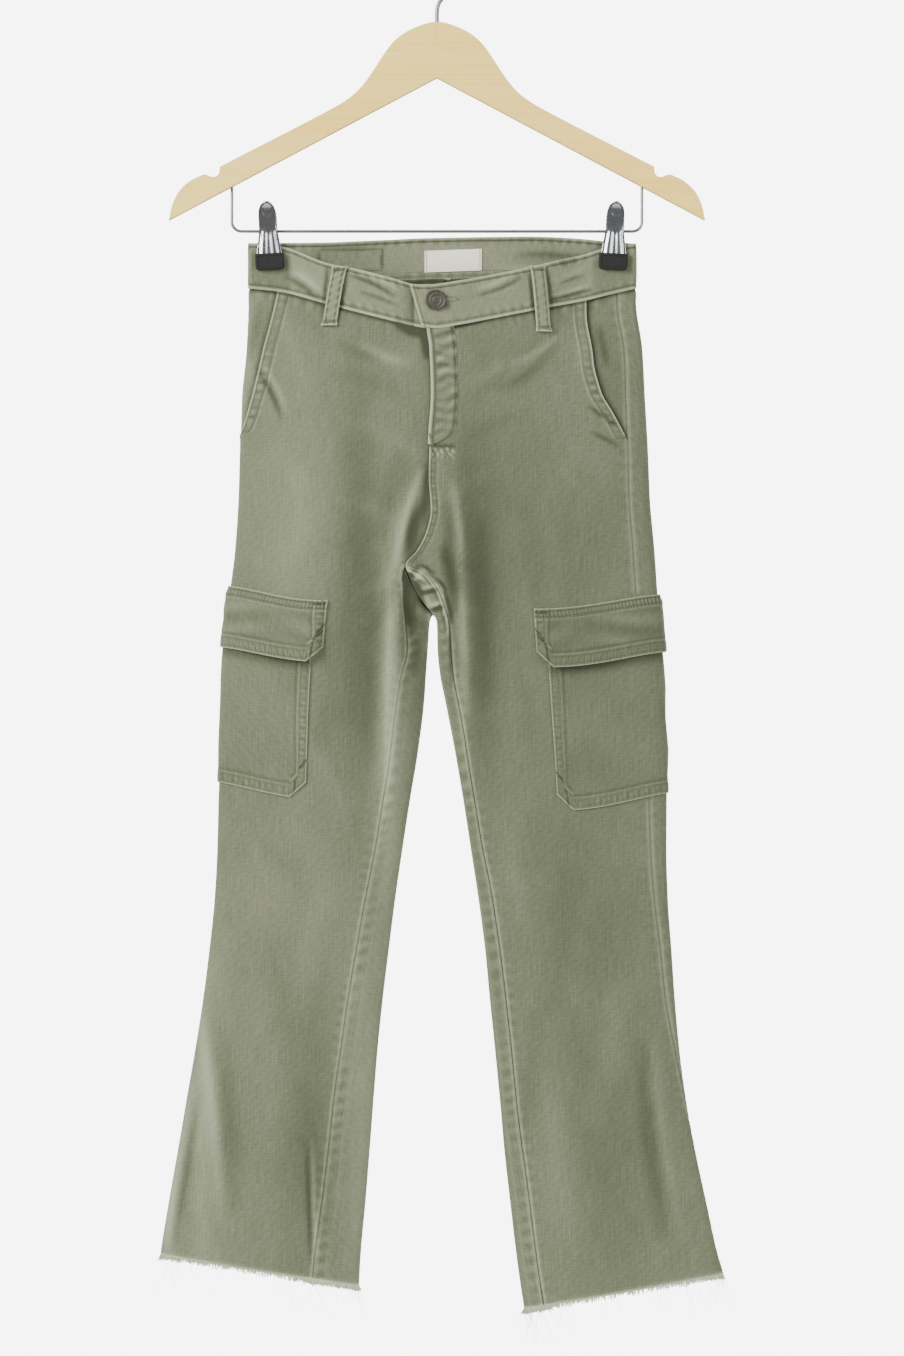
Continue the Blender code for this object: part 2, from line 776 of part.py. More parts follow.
def lathe(name, profile, segments, material, matrix):
    """A closed solid of revolution about its own Z, from a profile of (radius, height) in mm."""
    work = bmesh.new()
    chain = [work.verts.new((radius * MM, 0, height * MM)) for radius, height in profile]
    sides = [work.edges.new(pair) for pair in zip(chain, chain[1:])]
    bmesh.ops.spin(
        work, geom=chain + sides, axis=(0, 0, 1), angle=2 * math.pi, steps=segments, use_merge=True
    )
    bmesh.ops.remove_doubles(work, verts=work.verts, dist=1e-6)
    bmesh.ops.recalc_face_normals(work, faces=work.faces)
    mesh = bpy.data.meshes.new(name)
    work.to_mesh(mesh)
    work.free()
    mesh.transform(matrix)
    mesh.materials.append(material)
    mesh.shade_smooth()
    mesh.set_sharp_from_angle(angle=math.radians(40))
    obj = bpy.data.objects.new(name, mesh)
    bpy.context.scene.collection.objects.link(obj)
    return obj


def make_button(metal):
    """A 17 mm jeans button with a rolled rim, on the band's button end."""
    place = band_point("front", BUTTON_X, BUTTON_DROP)
    seat = place + np.array((0, -(BAND_LIFT + OVERLAP_OUT + 1.2 * GAP), 0))
    towards_front = Matrix.Rotation(math.radians(90), 4, "X")
    matrix = Matrix.Translation(Vector(seat) * MM) @ towards_front
    lathe("button", BUTTON_PROFILE, 24, metal, matrix)


def wire(name, route, thickness, material):
    curve = bpy.data.curves.new(name, "CURVE")
    curve.dimensions = "3D"
    curve.bevel_depth = thickness / 2 * MM
    curve.bevel_resolution = 2
    curve.use_fill_caps = True
    spline = curve.splines.new("POLY")
    spline.points.add(len(route) - 1)
    for point, (x, drop) in zip(spline.points, route):
        point.co = (x * MM, 0, -drop * MM, 1)
    curve.materials.append(material)
    obj = bpy.data.objects.new(name, curve)
    bpy.context.scene.collection.objects.link(obj)
    return obj


def make_hook(steel):
    """A question mark of wire: a stem, a bend to the left and three quarters of a circle."""
    radius = HOOK_RADIUS + HOOK_WIRE / 2
    stem = [(0, STEM_FOOT), (0, 62), (0, 56), (0.6, 51.5), (2.6, 47.3), (6, 43.6), (10, 40.4)]
    angles = [math.radians(-48 + i * 14) for i in range(18)]
    arc = [(radius * math.cos(angle), HOOK_RADIUS - radius * math.sin(angle)) for angle in angles]
    wire("hook", stem + arc, HOOK_WIRE, steel)


def make_clip_bar(steel):
    """The wire that the clips slide on, bent up at both ends into the arms."""
    middle = (BAR_HALF - BAR_CORNER, BAR_DROP - BAR_CORNER)
    angles = [math.radians(90 * i / 4) for i in range(5)]
    corner = [
        (middle[0] + BAR_CORNER * math.sin(angle), middle[1] + BAR_CORNER * math.cos(angle))
        for angle in angles
    ]
    half = corner + [(BAR_HALF, BAR_END)]
    wire("clip_bar", [(-x, drop) for x, drop in reversed(half)] + half, BAR_WIRE, steel)


# One arm's outline: the joint at the crown and the shoulder, the strap notch, then the rounded tip
ARM_JOINT = 0.03
CROWN = (
    (ARM_JOINT, CROWN_TOP), (6, 65.5), (17.5, 69.4), (27, 74), (36, 81), (44, 91.5), (52.5, 105), (62, 118.5),
    (71.5, 127.8), (87.5, 137.8), (180.5, 185.5),
)
STRAP_NOTCH = ((180.6, 188), (181.2, 191.6), (184, 194), (187.5, 194), (190.5, 192.4), (194, 191.9))
ARM_TIP = ((194, 191.9), (205.5, 197), (214.5, 205.5), (220, 216), (222.8, 229.8))
UNDERSIDE = ((ARM_JOINT, 111.5),)


def corners_cut(route, times):
    """The route with its corners cut again and again, which leaves a smooth bend."""
    for _ in range(times):
        finer = [route[0]]
        for (x0, y0), (x1, y1) in zip(route, route[1:]):
            finer.append((0.75 * x0 + 0.25 * x1, 0.75 * y0 + 0.25 * y1))
            finer.append((0.25 * x0 + 0.75 * x1, 0.25 * y0 + 0.75 * y1))
        route = finer + [route[-1]]
    return route


ARM_OUTLINE = (*corners_cut(CROWN, 2), *corners_cut(STRAP_NOTCH, 1), *corners_cut(ARM_TIP, 2)[1:], *UNDERSIDE)


def cutter(name, radius, x, drop_top, drop_foot):
    """A hidden upright cylinder that drills a wire's hole."""
    length = drop_foot - drop_top
    profile = [(0, 0), (radius, 0), (radius, length), (0, length)]
    hole = lathe(name, profile, 12, None, Matrix.Translation((x * MM, 0, -drop_foot * MM)))
    hole.hide_render = True
    hole.display_type = "WIRE"
    return hole


def make_arm(side, wood, stem_hole):
    sign = 1 if side == "left" else -1
    depth = WOOD_DEPTH / 2
    outline = ARM_OUTLINE if sign > 0 else ARM_OUTLINE[::-1]
    count = len(outline)
    points = [(sign * x * MM, y * MM, -drop * MM) for y in (-depth, depth) for x, drop in outline]
    faces = [list(range(count))[::-1], list(range(count, 2 * count))]
    faces += [[i, (i + 1) % count, (i + 1) % count + count, i + count] for i in range(count)]
    arm = mesh_object("hanger_arm_" + side, points, faces, wood)
    rounding = arm.modifiers.new("Rounded edges", "BEVEL")
    rounding.width = WOOD_ROUNDING * MM
    rounding.segments = 3
    rounding.limit_method = "ANGLE"
    rounding.angle_limit = math.radians(60)
    bar_hole = cutter("bar_hole_" + side, BAR_WIRE / 2 + GAP, sign * BAR_HALF, BAR_END - 1, BAR_END + 19)
    for hole in (stem_hole, bar_hole):
        drilled = arm.modifiers.new("Wire hole", "BOOLEAN")
        drilled.object = hole
        drilled.operation = "DIFFERENCE"


# A clip's jaw: how far its face stands in front of the bar, and half its width, down from the finger tab
JAW = table(
    "drop out half",
    (214.9, 15.9, 1.8),
    (216.4, 15.3, 4.3),
    (218.8, 14.3, 6.1),
    (222.5, 12.7, 6.9),
    (229, 9.8, 6.9),
    (236, 7.7, 7.1),
    (243, 7.1, 7.6),
    (250, 7.1, 8.8),
    (257, 7.1, 10),
)


def make_clip(side, chrome, rubber):
    x = CLIP_X[side]
    lean = math.radians(CLIP_LEAN if side == "left" else -CLIP_LEAN)
    pivot = Vector((x * MM, 0, -PAD_DROP * MM))
    leaning = Matrix.Translation(pivot) @ Matrix.Rotation(lean, 4, "Y") @ Matrix.Translation(-pivot)
    pad_out = PINCHED_HALF + BAND_LIFT + GAP + PAD_SIZE[1] / 2
    for face, way in (("front", -1), ("back", 1)):
        jaw = Cloth()
        rows = [
            [
                np.array((x + across * half, way * (out - JAW_CROWN * across**2), -drop))
                for across in (-1, 0, 1)
            ]
            for drop, out, half in zip(JAW["drop"], JAW["out"], JAW["half"])
        ]
        jaw.grid(rows, way > 0)
        plate = jaw.wall(f"clip_jaw_{face}_{side}", chrome, JAW_PLATE, trim=0)
        plate.data.transform(leaning)
        half_size = [size / 2 * MM for size in PAD_SIZE]
        work = bmesh.new()
        bmesh.ops.create_cube(work, size=2, matrix=Matrix.Diagonal((*half_size, 1)))
        mesh = bpy.data.meshes.new(f"clip_pad_{face}_{side}")
        work.to_mesh(mesh)
        work.free()
        mesh.transform(leaning @ Matrix.Translation((x * MM, way * pad_out * MM, -PAD_DROP * MM)))
        mesh.materials.append(rubber)
        pad = bpy.data.objects.new(mesh.name, mesh)
        bpy.context.scene.collection.objects.link(pad)
        soft_edges = pad.modifiers.new("Moulded edges", "BEVEL")
        soft_edges.width = PAD_ROUNDING * MM
        soft_edges.segments = 2
    bar_x = x + math.tan(lean) * (PAD_DROP - BAR_DROP)
    inside = BAR_WIRE / 2 + GAP
    corners = ((inside, -1), (COIL_RADIUS, -1), (COIL_RADIUS, 1), (inside, 1), (inside, -1))
    profile = [(radius, COIL_HALF * end) for radius, end in corners]
    middle = Matrix.Translation((bar_x * MM, 0, -BAR_DROP * MM))
    along_bar = middle @ Matrix.Rotation(math.radians(90), 4, "Y")
    lathe(f"clip_spring_{side}", profile, 16, chrome, along_bar)


def main():
    for obj in list(bpy.data.objects):
        bpy.data.objects.remove(obj)
    twill = finish("Washed olive twill", (0.25, 0.27, 0.17), 0.9)
    thread = finish("Frayed twill ends", (0.55, 0.56, 0.43), 0.95)
    ribbon = finish("Woven label ribbon", (0.75, 0.74, 0.65), 0.8)
    gunmetal = finish("Antique gunmetal", (0.15, 0.15, 0.12), 0.45, 1.0)
    wood = finish("Pale waxed beech", (0.8, 0.62, 0.36), 0.5)
    chrome = finish("Chromed steel", (0.8, 0.8, 0.8), 0.15, 1.0)
    steel = finish("Bright steel wire", (0.6, 0.6, 0.6), 0.3, 1.0)
    rubber = finish("Black moulded rubber", (0.03, 0.03, 0.03), 0.6)

    panels = Panels()
    make_panels(panels, twill)
    for side in ("right", "left"):
        make_pocket_facing(side, panels, twill)
        make_cargo_pocket(side, panels, twill)
        make_hem_fray(side, panels, thread)
    make_fly_front(panels, twill)
    make_waistband(twill)
    make_belt_loop("belt_loop_front_right", "front", -80, -89, twill)
    make_belt_loop("belt_loop_front_left", "front", 83, 88.5, twill)
    make_belt_loop("belt_loop_back_right", "back", -84, -84, twill)
    make_belt_loop("belt_loop_back_centre", "back", 5, 4, twill)
    make_belt_loop("belt_loop_back_left", "back", 88, 88, twill)
    make_size_label(ribbon)
    make_button(gunmetal)

    stem_hole = cutter("stem_hole", HOOK_WIRE / 2 + GAP, 0, CROWN_TOP - 10, STEM_FOOT + 1)
    for side in ("right", "left"):
        make_arm(side, wood, stem_hole)
        make_clip(side, chrome, rubber)
    make_hook(steel)
    make_clip_bar(steel)


main()
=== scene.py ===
"""Looks of the cropped cargo jeans that hang from a wooden clip hanger.

Cloth is worked out in millimetres on the same form as its solids and becomes metres when its mesh is
made. A "drop" is a distance below the origin, and a "level" is the drop of a row at the leg's outer edge.
A "share" is the part of the way from that edge to the leg's inner edge, or to the centre above the crotch.
A "turn" goes round a leg: 0 at its outer edge, to pi in front and to -pi behind. "Right" is the wearer's.
"""

import math

import bmesh
import bpy
import numpy as np
from bpy.props import FloatProperty, FloatVectorProperty, PointerProperty
from mathutils import Matrix, Vector


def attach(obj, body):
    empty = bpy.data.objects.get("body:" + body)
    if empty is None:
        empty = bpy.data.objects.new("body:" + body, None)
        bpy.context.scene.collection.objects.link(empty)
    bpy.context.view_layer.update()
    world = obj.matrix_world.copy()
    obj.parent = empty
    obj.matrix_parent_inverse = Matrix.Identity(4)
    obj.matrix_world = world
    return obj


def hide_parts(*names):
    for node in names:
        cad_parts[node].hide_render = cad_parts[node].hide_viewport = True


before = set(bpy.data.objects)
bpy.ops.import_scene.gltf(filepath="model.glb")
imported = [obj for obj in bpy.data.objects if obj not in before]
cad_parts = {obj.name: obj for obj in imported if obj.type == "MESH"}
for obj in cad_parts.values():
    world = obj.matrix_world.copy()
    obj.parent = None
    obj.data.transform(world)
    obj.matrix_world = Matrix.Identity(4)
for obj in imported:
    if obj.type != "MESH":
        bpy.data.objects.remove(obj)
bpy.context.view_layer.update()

bl_info = {
    "name": "Cargo jeans on a clip hanger",
    "version": (1, 0, 0),
    "blender": (4, 5, 0),
    "location": "3D View > Sidebar > Jeans",
    "description": "Dresses the packed solids of the hanging cargo jeans with cloth, thread, metal and wood",
    "category": "Object",
}

MM = 0.001

# Walls, mm
TWILL = 1.2
BAND_PLIES = 2.4
FLAP_PLIES = 1.6
LOOP_PLIES = 1.8
LABEL_PLY = 0.5
GAP = 0.3

# Levels and sizes of the cloth pieces, mm
BAND_TOP = 250
PINCH_FOOT = 272
BAND_SEAM = 285
HIPS_FULL = 400
DIP_FOOT = 430
POCKET_FOOT = 415
CROTCH = 517
FORK = 558
HEM = {"right": 1090, "left": 1106}
HEM_TILT = {"right": 25.8, "left": 28.8}
CARGO_HALF = 76
FLAP_HALF = 85
CHAMFER = 13
MOUTH_FOLD = 8
FLAP_STAND = 2.4
CARGO_TILT = 12
CARGO_ROWS = {"from": 480, "full": 530, "until": 720, "gone": 820}
SHIN_TOP = 600
SHIN_CURVE = 1.2
# Levels of the cargo pockets and flaps
LEVELS = {
    "right": {"flap_top": 534, "mouth": 541, "flap_foot": 585, "body_foot": 697},
    "left": {"flap_top": 541, "mouth": 549, "flap_foot": 589, "body_foot": 706},
}
EDGE_ROUNDING = 0.35
EDGE_TURN = 0.12
OVERLAP_OUT = 2.7
BAND_LIFT = 0.6
BAND_OVER = 1.6
FLY_WIDTH = 21
FLY_LAP = 1.5
FLY_FOOT = 416
# The band's two ends in front, and how far the upper one slants
BUTTON_END = -19
UNDERLAP_END = 12
END_SLANT = 10
MID_BAND = 290
LOOP_HALF = 5.7
LOOP_INSET = 0.5
LABEL_X = 13.5
LABEL_TOP = 253.5
CLIP_X = {"right": -138.9, "left": 146.4}
CLIP_LEAN = 3
PAD_DROP = 264.5
SIDES = ("right", "left")

# Sizes of the hard pieces, mm
JAW_PLATE = 0.9
PAD_SIZE = (24, 4.8, 13.8)
PINCHED_HALF = 3.4
BAR_WIRE = 2.6
BAR_DROP = 239
BAR_HALF = 170.5
BAR_CORNER = 8
BAR_END = 196
HOOK_WIRE = 3.6
HOOK_RADIUS = 20.8
HOOK_DROP = 19
HOOK_STEM = (
    (0, 0, -84), (0, 0, -70), (0, 0, -62), (0, 0, -56),
    (0.6, 0, -51.5), (2.6, 0, -47.3), (6, 0, -43.6), (10, 0, -40.4),
)
COIL_WIRE = 1.3
COIL_RADIUS = 4.8
COIL_HALF = 4.6
COIL_TURNS = 5
# The button's place, and its radius and height from its foot to its middle
BUTTON = (-0.8, 297.6)
BUTTON_RINGS = (
    (4.2, 0), (4.2, 0.9), (7.9, 0.9), (8.4, 1.3), (8.5, 1.9), (8.4, 2.5), (8, 2.95), (7.4, 2.9), (6.9, 2.4),
    (6.4, 2.15), (5.7, 2.2), (5.2, 2.55), (4.4, 2.6), (3.9, 2.2), (3.2, 2.05), (2.6, 2.3), (1.6, 2.5), (0.5, 2.55),
)
# Belt loops: face, and x at the top and the foot
LOOPS = {
    "front_right": ("front", -80, -89),
    "front_left": ("front", 83, 88.5),
    "back_right": ("back", -84, -84),
    "back_centre": ("back", 5, 4),
    "back_left": ("back", 88, 88),
}
# Corners of the box of stitches inside the back band: x and drop
SEWN_BOX = ((-98, 253.5), (-46, 252.5), (-46, 270.5), (-98, 271.5), (-98, 253.5))


def table(columns, *rows):
    """Named columns; the first one is read along, and the others are read from it."""
    return {name: np.array(values, float) for name, values in zip(columns.split(), zip(*rows))}


# The jeans' outer edges
OUTLINE = table(
    "drop right_outer left_outer",
    (246, -157, 165.5), (296, -157.2, 165.6), (338, -159, 171), (379, -163, 173.2), (421, -164, 175.6),
    (462, -165.2, 177.3), (504, -168, 181), (545, -173, 183.8), (587, -176.6, 186.4), (629, -178.9, 188.4),
    (670, -180.2, 190.3), (712, -181.8, 191.2), (753, -182.8, 191), (795, -185.1, 192.2),
    (837, -189.5, 195.2), (878, -194.7, 198), (920, -201.3, 201.8), (961, -208.4, 207.2),
    (1003, -215.6, 214.8), (1045, -223, 223.8), (1090, -230, 233.6), (1110, -232, 239),
)
# The legs' inner edges, below the fork
LEG_GAP = table(
    "drop right left",
    (FORK, -3, -3), (560, -4.6, -1.4), (564, -5.9, -0.2), (587, -7.5, 0.4), (608, -9, 2.5),
    (629, -10.4, 6.7), (670, -15.4, 14.6), (712, -22.3, 21.8), (753, -28.6, 28.1), (795, -34.7, 34.5),
    (837, -40, 40), (878, -45, 43.9), (920, -49.3, 48.2), (961, -52.6, 52.2), (1003, -55.8, 55.9),
    (1045, -59.2, 60.6), (1086, -63, 65.4), (1116, -65, 69.5), (1135, -66, 72.5),
)
# The centre line, above the fork
CENTRE = table(
    "drop front back",
    (246, -7, 6), (320, -7, 4), (335, -5, 3), (374, -3.5, 1), (414, -6, 0), (445, -6.7, -1),
    (471, -5, -1.5), (488, -8.3, -2), (505, -16.6, -2.5), (CROTCH, -26, -3), (525, -23.5, -3),
    (534, -20, -3), (544, -14, -3), (552, -8, -3), (FORK, -3, -3),
)
# The band's top and seam
WAIST = table(
    "x front_top front_seam back_top back_seam",
    (-157, 248.5, 285, 248.5, 285), (-130, 251.5, 288, 248.3, 283), (-90, 266.5, 299, 247.5, 281.5),
    (-70, 270.5, 304.5, 246.5, 280.5), (-39, 278.5, 312.5, 245, 279), (-16, 284.5, 318, 243.8, 278),
    (-7, 284.8, 319.3, 243.5, 277.5), (20, 281, 316, 243, 277), (37, 277.8, 312.7, 242.7, 276.7),
    (75, 270, 305, 242.5, 277), (93, 265.5, 301.3, 243, 278), (122, 258.5, 295.5, 245, 280.5),
    (140, 253, 291, 247, 283), (166, 249, 285, 249, 285),
)
# Half the thickness where the clips pinch the band, and where the cloth hangs loose
PINCH = table(
    "share front back",
    (0, 0, 0), (0.008, 2.6, 2.6), (0.02, 3.6, 3.6), (0.035, 3.4, 3.4), (0.2, 3.4, 3.4), (0.28, 5.5, 4.6),
    (0.42, 12, 8), (0.68, 19, 12), (1, 23, 14),
)
# Half the thickness of the open hips and legs, lower down
DEPTH = table(
    "level front back",
    (250, 22, 16), (330, 24, 20), (420, 25, 26), (500, 24, 28), (558, 21, 24), (620, 17.5, 18.5),
    (700, 15, 15), (800, 13, 13), (900, 12, 12), (1000, 12.5, 12), (1110, 14, 13),
)
# Side seams and slant-pocket mouths: how far in from the outer edge
SEAMS = table(
    "level right_side left_side right_mouth left_mouth",
    (285, -4, 16, 25, 41.6), (314, -4, 15.6, 19.1, 41.6), (340, -4, 15.4, 14.1, 41.6),
    (371, -4, 16.2, 10.5, 36.6), (389, -4, 16.6, 6.5, 28.3), (405, -4, 17, 1.5, 21), (415, -4, 17, -4, 17),
    (460, -4, 17.8, -4, 17.8), (540, -4, 18.3, -4, 18.3), (708, -4, 15, -4, 15), (764, -4, 12.9, -4, 12.9),
    (820, -4.5, 10, -4.5, 10), (881, -7, 7.5, -7, 7.5), (932, -12, 2.5, -12, 2.5), (1000, -17, -1, -17, -1),
    (1050, -21, -3, -21, -3), (1110, -25, -5, -25, -5),
)
# The inseam, in front: how far in from the inner edge
INSEAM = table(
    "level right left",
    (CROTCH, 0, 0), (525, 4.8, 16), (534, 7.5, 20), (541, 11, 19.5), (549, 16.5, 16.3), (FORK, 22, 11.5),
    (564, 19.5, 10), (587, 16.6, 11), (607, 21, 10.8), (646, 23.3, 10.4), (691, 22.5, 9.2),
    (741, 22.7, 9.6), (775, 24, 11.2), (818, 26, 11.8), (867, 28.3, 13), (908, 30, 13.3), (943, 32.2, 13.3),
    (1004, 34.4, 15.4), (1049, 36.4, 15.8), (1110, 39, 16),
)
# Folds and creases: from their top to their foot, height outwards, reach to each side
FOLDS = {
    "front": table(
        "x_top x_foot top foot height reach",
        (-60, -80, 375, 740, -4, 17), (-35, -46, 520, 760, 3.5, 10), (-20, -26, 530, 600, -4, 7),
        (32, 54, 380, 740, -4, 16), (106, 30, 320, 385, -2.2, 9), (-110, -150, 760, 1000, -2.5, 16),
        (150, 120, 760, 1040, -2, 20),
    ),
    "back": table(
        "x_top x_foot top foot height reach",
        (-70, -88, 400, 800, -3.5, 17), (66, 84, 410, 820, -3.5, 17),
    ),
}
# Finer creases: straight lines in the front view, bowed by "bow" at their middle
CREASES = {
    "front": table(
        "x_top drop_top x_foot drop_foot bow height reach",
        # drag lines from the fly and the crotch to the hips
        (-12, 352, -78, 332, 3, 0.9, 6), (-14, 383, -96, 356, -4, -0.8, 7),
        (-10, 430, -74, 398, -5, 0.7, 6), (20, 372, 96, 344, 4, 0.9, 7), (16, 420, 84, 392, 5, -0.8, 6),
        (4, 468, 60, 438, 5, 0.8, 6), (-24, 492, -84, 462, -6, 0.8, 7),
        # sharp edges of the two slack folds that run down from the crotch
        (-32, 450, -41, 770, 3, 1.3, 5), (21, 452, 27, 740, -4, 1.3, 4),
        # the slack drawn together at the crotch
        (-9, 460, -25, 514, -3, -1.6, 5), (-12, 436, -35, 520, -3, 1.1, 4.5),
        (-22, 526, -17, 572, -2, -2.2, 5), (-14, 538, -5, 574, 3, 1.6, 4), (5, 500, 15, 562, 3, -1.3, 4.5),
        (-197, 885, -180, 1070, 3, 0.9, 6), (-142, 360, -128, 392, 1, -1.1, 3),
        # whiskers that fan out from the crotch
        (-26, 512, -70, 545, 5, 1, 6), (-28, 522, -60, 580, 4, -1, 6), (2, 505, 44, 520, -4, -0.9, 6),
        (6, 536, 46, 560, -5, 0.9, 6), (10, 560, 34, 620, -4, -1, 6), (-14, 560, -24, 640, 3, 1.3, 5),
        # the waist below the clips
        (-138, 292, -112, 372, 5, 0.8, 7), (-120, 296, -88, 345, 4, -0.7, 6),
        (138, 300, 118, 366, -5, 0.7, 7), (118, 300, 96, 340, -4, -0.6, 5),
        # thighs
        (-112, 430, -128, 540, 6, 0.7, 9), (-92, 560, -104, 700, 5, -0.8, 8),
        (96, 430, 104, 560, -5, 0.8, 9), (74, 560, 82, 690, -4, -0.8, 8), (62, 470, 78, 620, 4, 0.6, 7),
        # behind the knees and down the shins
        (-120, 650, -70, 742, 6, 0.9, 8), (-148, 742, -102, 806, 5, -0.8, 8),
        (-86, 776, -116, 900, -6, 0.8, 11), (-150, 842, -140, 1010, 6, 0.9, 12),
        (-172, 930, -188, 1070, 4, -0.8, 10), (-112, 940, -98, 1080, 4, -0.9, 12),
        (60, 720, 86, 842, -6, 0.9, 9), (104, 760, 96, 900, 5, -0.8, 10), (150, 850, 128, 990, 5, 0.9, 11),
        (96, 930, 118, 1090, -6, 0.9, 12), (178, 960, 190, 1080, 4, -0.8, 10),
        (82, 880, 70, 1000, 3, -0.7, 8),
    ),
    "back": table(
        "x_top drop_top x_foot drop_foot bow height reach",
        # the seat and the backs of the legs
        (-14, 380, -92, 350, 4, 0.9, 7), (-10, 440, -80, 404, 5, -0.9, 8), (10, 392, 92, 362, 4, 0.9, 7),
        (8, 452, 84, 420, 5, -0.9, 8), (-18, 540, -92, 510, -8, 1.3, 8), (-20, 560, -86, 556, -9, -1.3, 7),
        (-16, 580, -74, 606, 6, 1, 7), (10, 540, 88, 512, -8, 1.3, 8), (14, 562, 82, 560, -9, -1.3, 7),
        (12, 584, 70, 612, 6, 1, 7), (-118, 640, -62, 700, 6, 0.9, 9), (-136, 720, -84, 760, 5, -0.9, 9),
        (120, 646, 64, 708, -6, 0.9, 9), (138, 728, 88, 766, -5, -0.9, 9),
        (-110, 800, -132, 980, -6, 0.9, 12), (112, 806, 134, 990, 6, 0.9, 12),
        (-160, 880, -186, 1060, 5, -0.8, 11), (164, 890, 190, 1070, -5, -0.8, 11),
    ),
}
# Painted shade and painted highlights, with some wear of the wash: lines that darken where shade falls on the cloth
# and pale where light catches its folds and edges; soft ovals in the front view
PAINTED_SHADE_AND_WEAR = {
    "front": table(
        "x_top drop_top x_foot drop_foot bow tone reach",
        # beside the fly and down the centre seam: painted shadow of the fly's lap and beside the seam, painted
        # highlight on the slack's edge
        (-36, 314, -9, 327, -2, -1.3, 3.5), (-12, 320, -8, 348, 0, -1.1, 3),
        (-8, 430, -11, 486, 0, -0.7, 3), (-9, 462, -24, 512, -3, -0.7, 3.5),
        (-12, 436, -34, 520, -3, 0.6, 3.4), (-26, 420, -46, 500, -3, -0.25, 8),
        # the crotch, where four seams cross, and the slack round it: painted shadows in its folds, painted
        # highlights on its ridges and seam edges
        (-30, 517, -10, 529, 0, 1.3, 1.5), (-27, 521, -9, 533, 0, -0.6, 1.3),
        (-29, 526, -14, 537, 0, -2.2, 2.8), (-19, 529, -5, 560, 0, -1.5, 2.4),
        (-23, 530, -17, 570, -2, -1.5, 5), (-14, 538, -5, 572, 3, 1, 2.6), (-5, 566, -9, 590, 1, 0.7, 2.2),
        (-14, 560, -19, 610, 0, -0.5, 4), (-15, 516, -2, 528, 2, -1, 1.5), (-4, 526, 8, 541, 2, -1.2, 1.6),
        (6, 538, 12, 566, 1, -1.3, 1.7), (11, 556, 13, 620, -1, -0.9, 1.6), (5, 500, 15, 560, 3, -0.6, 4),
        (-8, 522, 6, 548, 4, 0.5, 1.6), (-14, 541, 1, 537, 0, -1.2, 1.5), (-14, 537, 1, 533, 0, 0.9, 1.5),
        (-8, 555, 5, 551, 0, -1.2, 1.5), (-8, 551, 5, 547, 0, 0.9, 1.5), (-20, 531, -9, 519, 0, 1.1, 1.4),
        (-24, 527, -14, 516, 0, -0.9, 1.3), (12, 444, 21, 530, 2, 0.5, 3.6),
        (21, 520, 25, 650, 0, 0.45, 3.6), (34, 470, 40, 640, 0, -0.25, 9), (-38, 500, -43, 700, 0, 0.3, 3),
        (-52, 500, -56, 690, 0, -0.25, 8),
        # drag lines below the band, and folds the slant pockets pull: painted shade in their hollows, painted
        # highlights on their ridges
        (108, 318, 58, 352, 4, 0.35, 3), (100, 331, 48, 374, 5, -0.35, 4.5),
        (-152, 350, -128, 398, 2, -0.65, 2), (-146, 348, -124, 392, 2, 0.35, 2.2),
        (124, 384, 152, 403, 0, -0.6, 2), (127, 406, 153, 419, 0, -0.5, 2),
        (134, 314, 142, 354, 0, -0.5, 3), (-144, 290, -156, 350, 0, -0.4, 5),
        (-166, 300, -172, 400, 0, 0.3, 5), (-84, 330, -44, 346, -3, -0.25, 5),
        (-20, 350, -66, 332, 3, 0.25, 4),
        # creases across the band between its clips and its button: painted shade in each crease, a painted
        # highlight beside it
        (90, 298, 130, 287, 0, -1, 1.5), (94, 294, 128, 283, 0, 0.5, 1.7),
        (100, 284, 124, 276, 1, -0.5, 1.6), (-74, 276, -34, 295, 2, -0.8, 1.8),
        (-71, 271, -30, 290, 2, 0.5, 2), (-66, 290, -30, 303, 1, -0.5, 1.8),
        (32, 294, 72, 277, -2, -0.75, 1.8), (30, 289, 68, 272, -2, 0.45, 2),
        (-128, 275, -96, 300, 2, -0.6, 2.2), (-124, 270, -92, 294, 2, 0.45, 2.4),
        (118, 262, 96, 268, 0, -0.5, 3),
        # painted shadow beside the belt loops and under the button
        (-90, 266, -96, 314, 0, -0.9, 1.4), (-76, 270, -82, 318, 0, -0.8, 1.4),
        (76, 270, 81, 314, 0, -0.9, 1.4), (91, 268, 96, 310, 0, -0.8, 1.4), (-8, 304, 12, 303, 3, -0.7, 3),
        # the flare's outer edge and inner seam
        (-203, 940, -228, 1094, 0, 0.55, 3.5), (-196, 950, -220, 1094, 0, -0.35, 2.6),
        (-197, 885, -180, 1070, 3, 0.3, 4.5), (-184, 890, -168, 1060, 3, -0.25, 8),
        (-108, 990, -105, 1098, 0, -0.6, 1.8), (-104, 990, -100, 1098, 0, 0.45, 2.2),
        (168, 905, 190, 1080, -4, -0.3, 6), (180, 900, 203, 1080, -4, 0.25, 5),
    ),
    "back": table(
        "x_top drop_top x_foot drop_foot bow tone reach",
        # inside and outside the back band: dark lines along the two rows at its foot and round the stitched box,
        # and broader painted shade and light where the front band's edge hangs before it
        (-99, 254, -98, 272, 0, -0.5, 1.3), (-46, 252, -46, 271, 0, -0.7, 1.3),
        (-100, 271, -44, 271, 0, -0.6, 1.2), (-100, 254, -44, 253, 0, -0.5, 1.2),
        (-150, 270, -104, 268, 0, -0.4, 3), (62, 258, 130, 262, 2, -0.5, 3), (44, 268, 120, 270, 0, 0.4, 3),
        # seat and backs of the knees
        (-16, 470, -70, 452, -4, 0.3, 6), (14, 476, 72, 456, -4, 0.3, 6), (-120, 700, -60, 716, 5, -0.3, 6),
        (122, 706, 62, 722, 5, -0.3, 6),
    ),
}
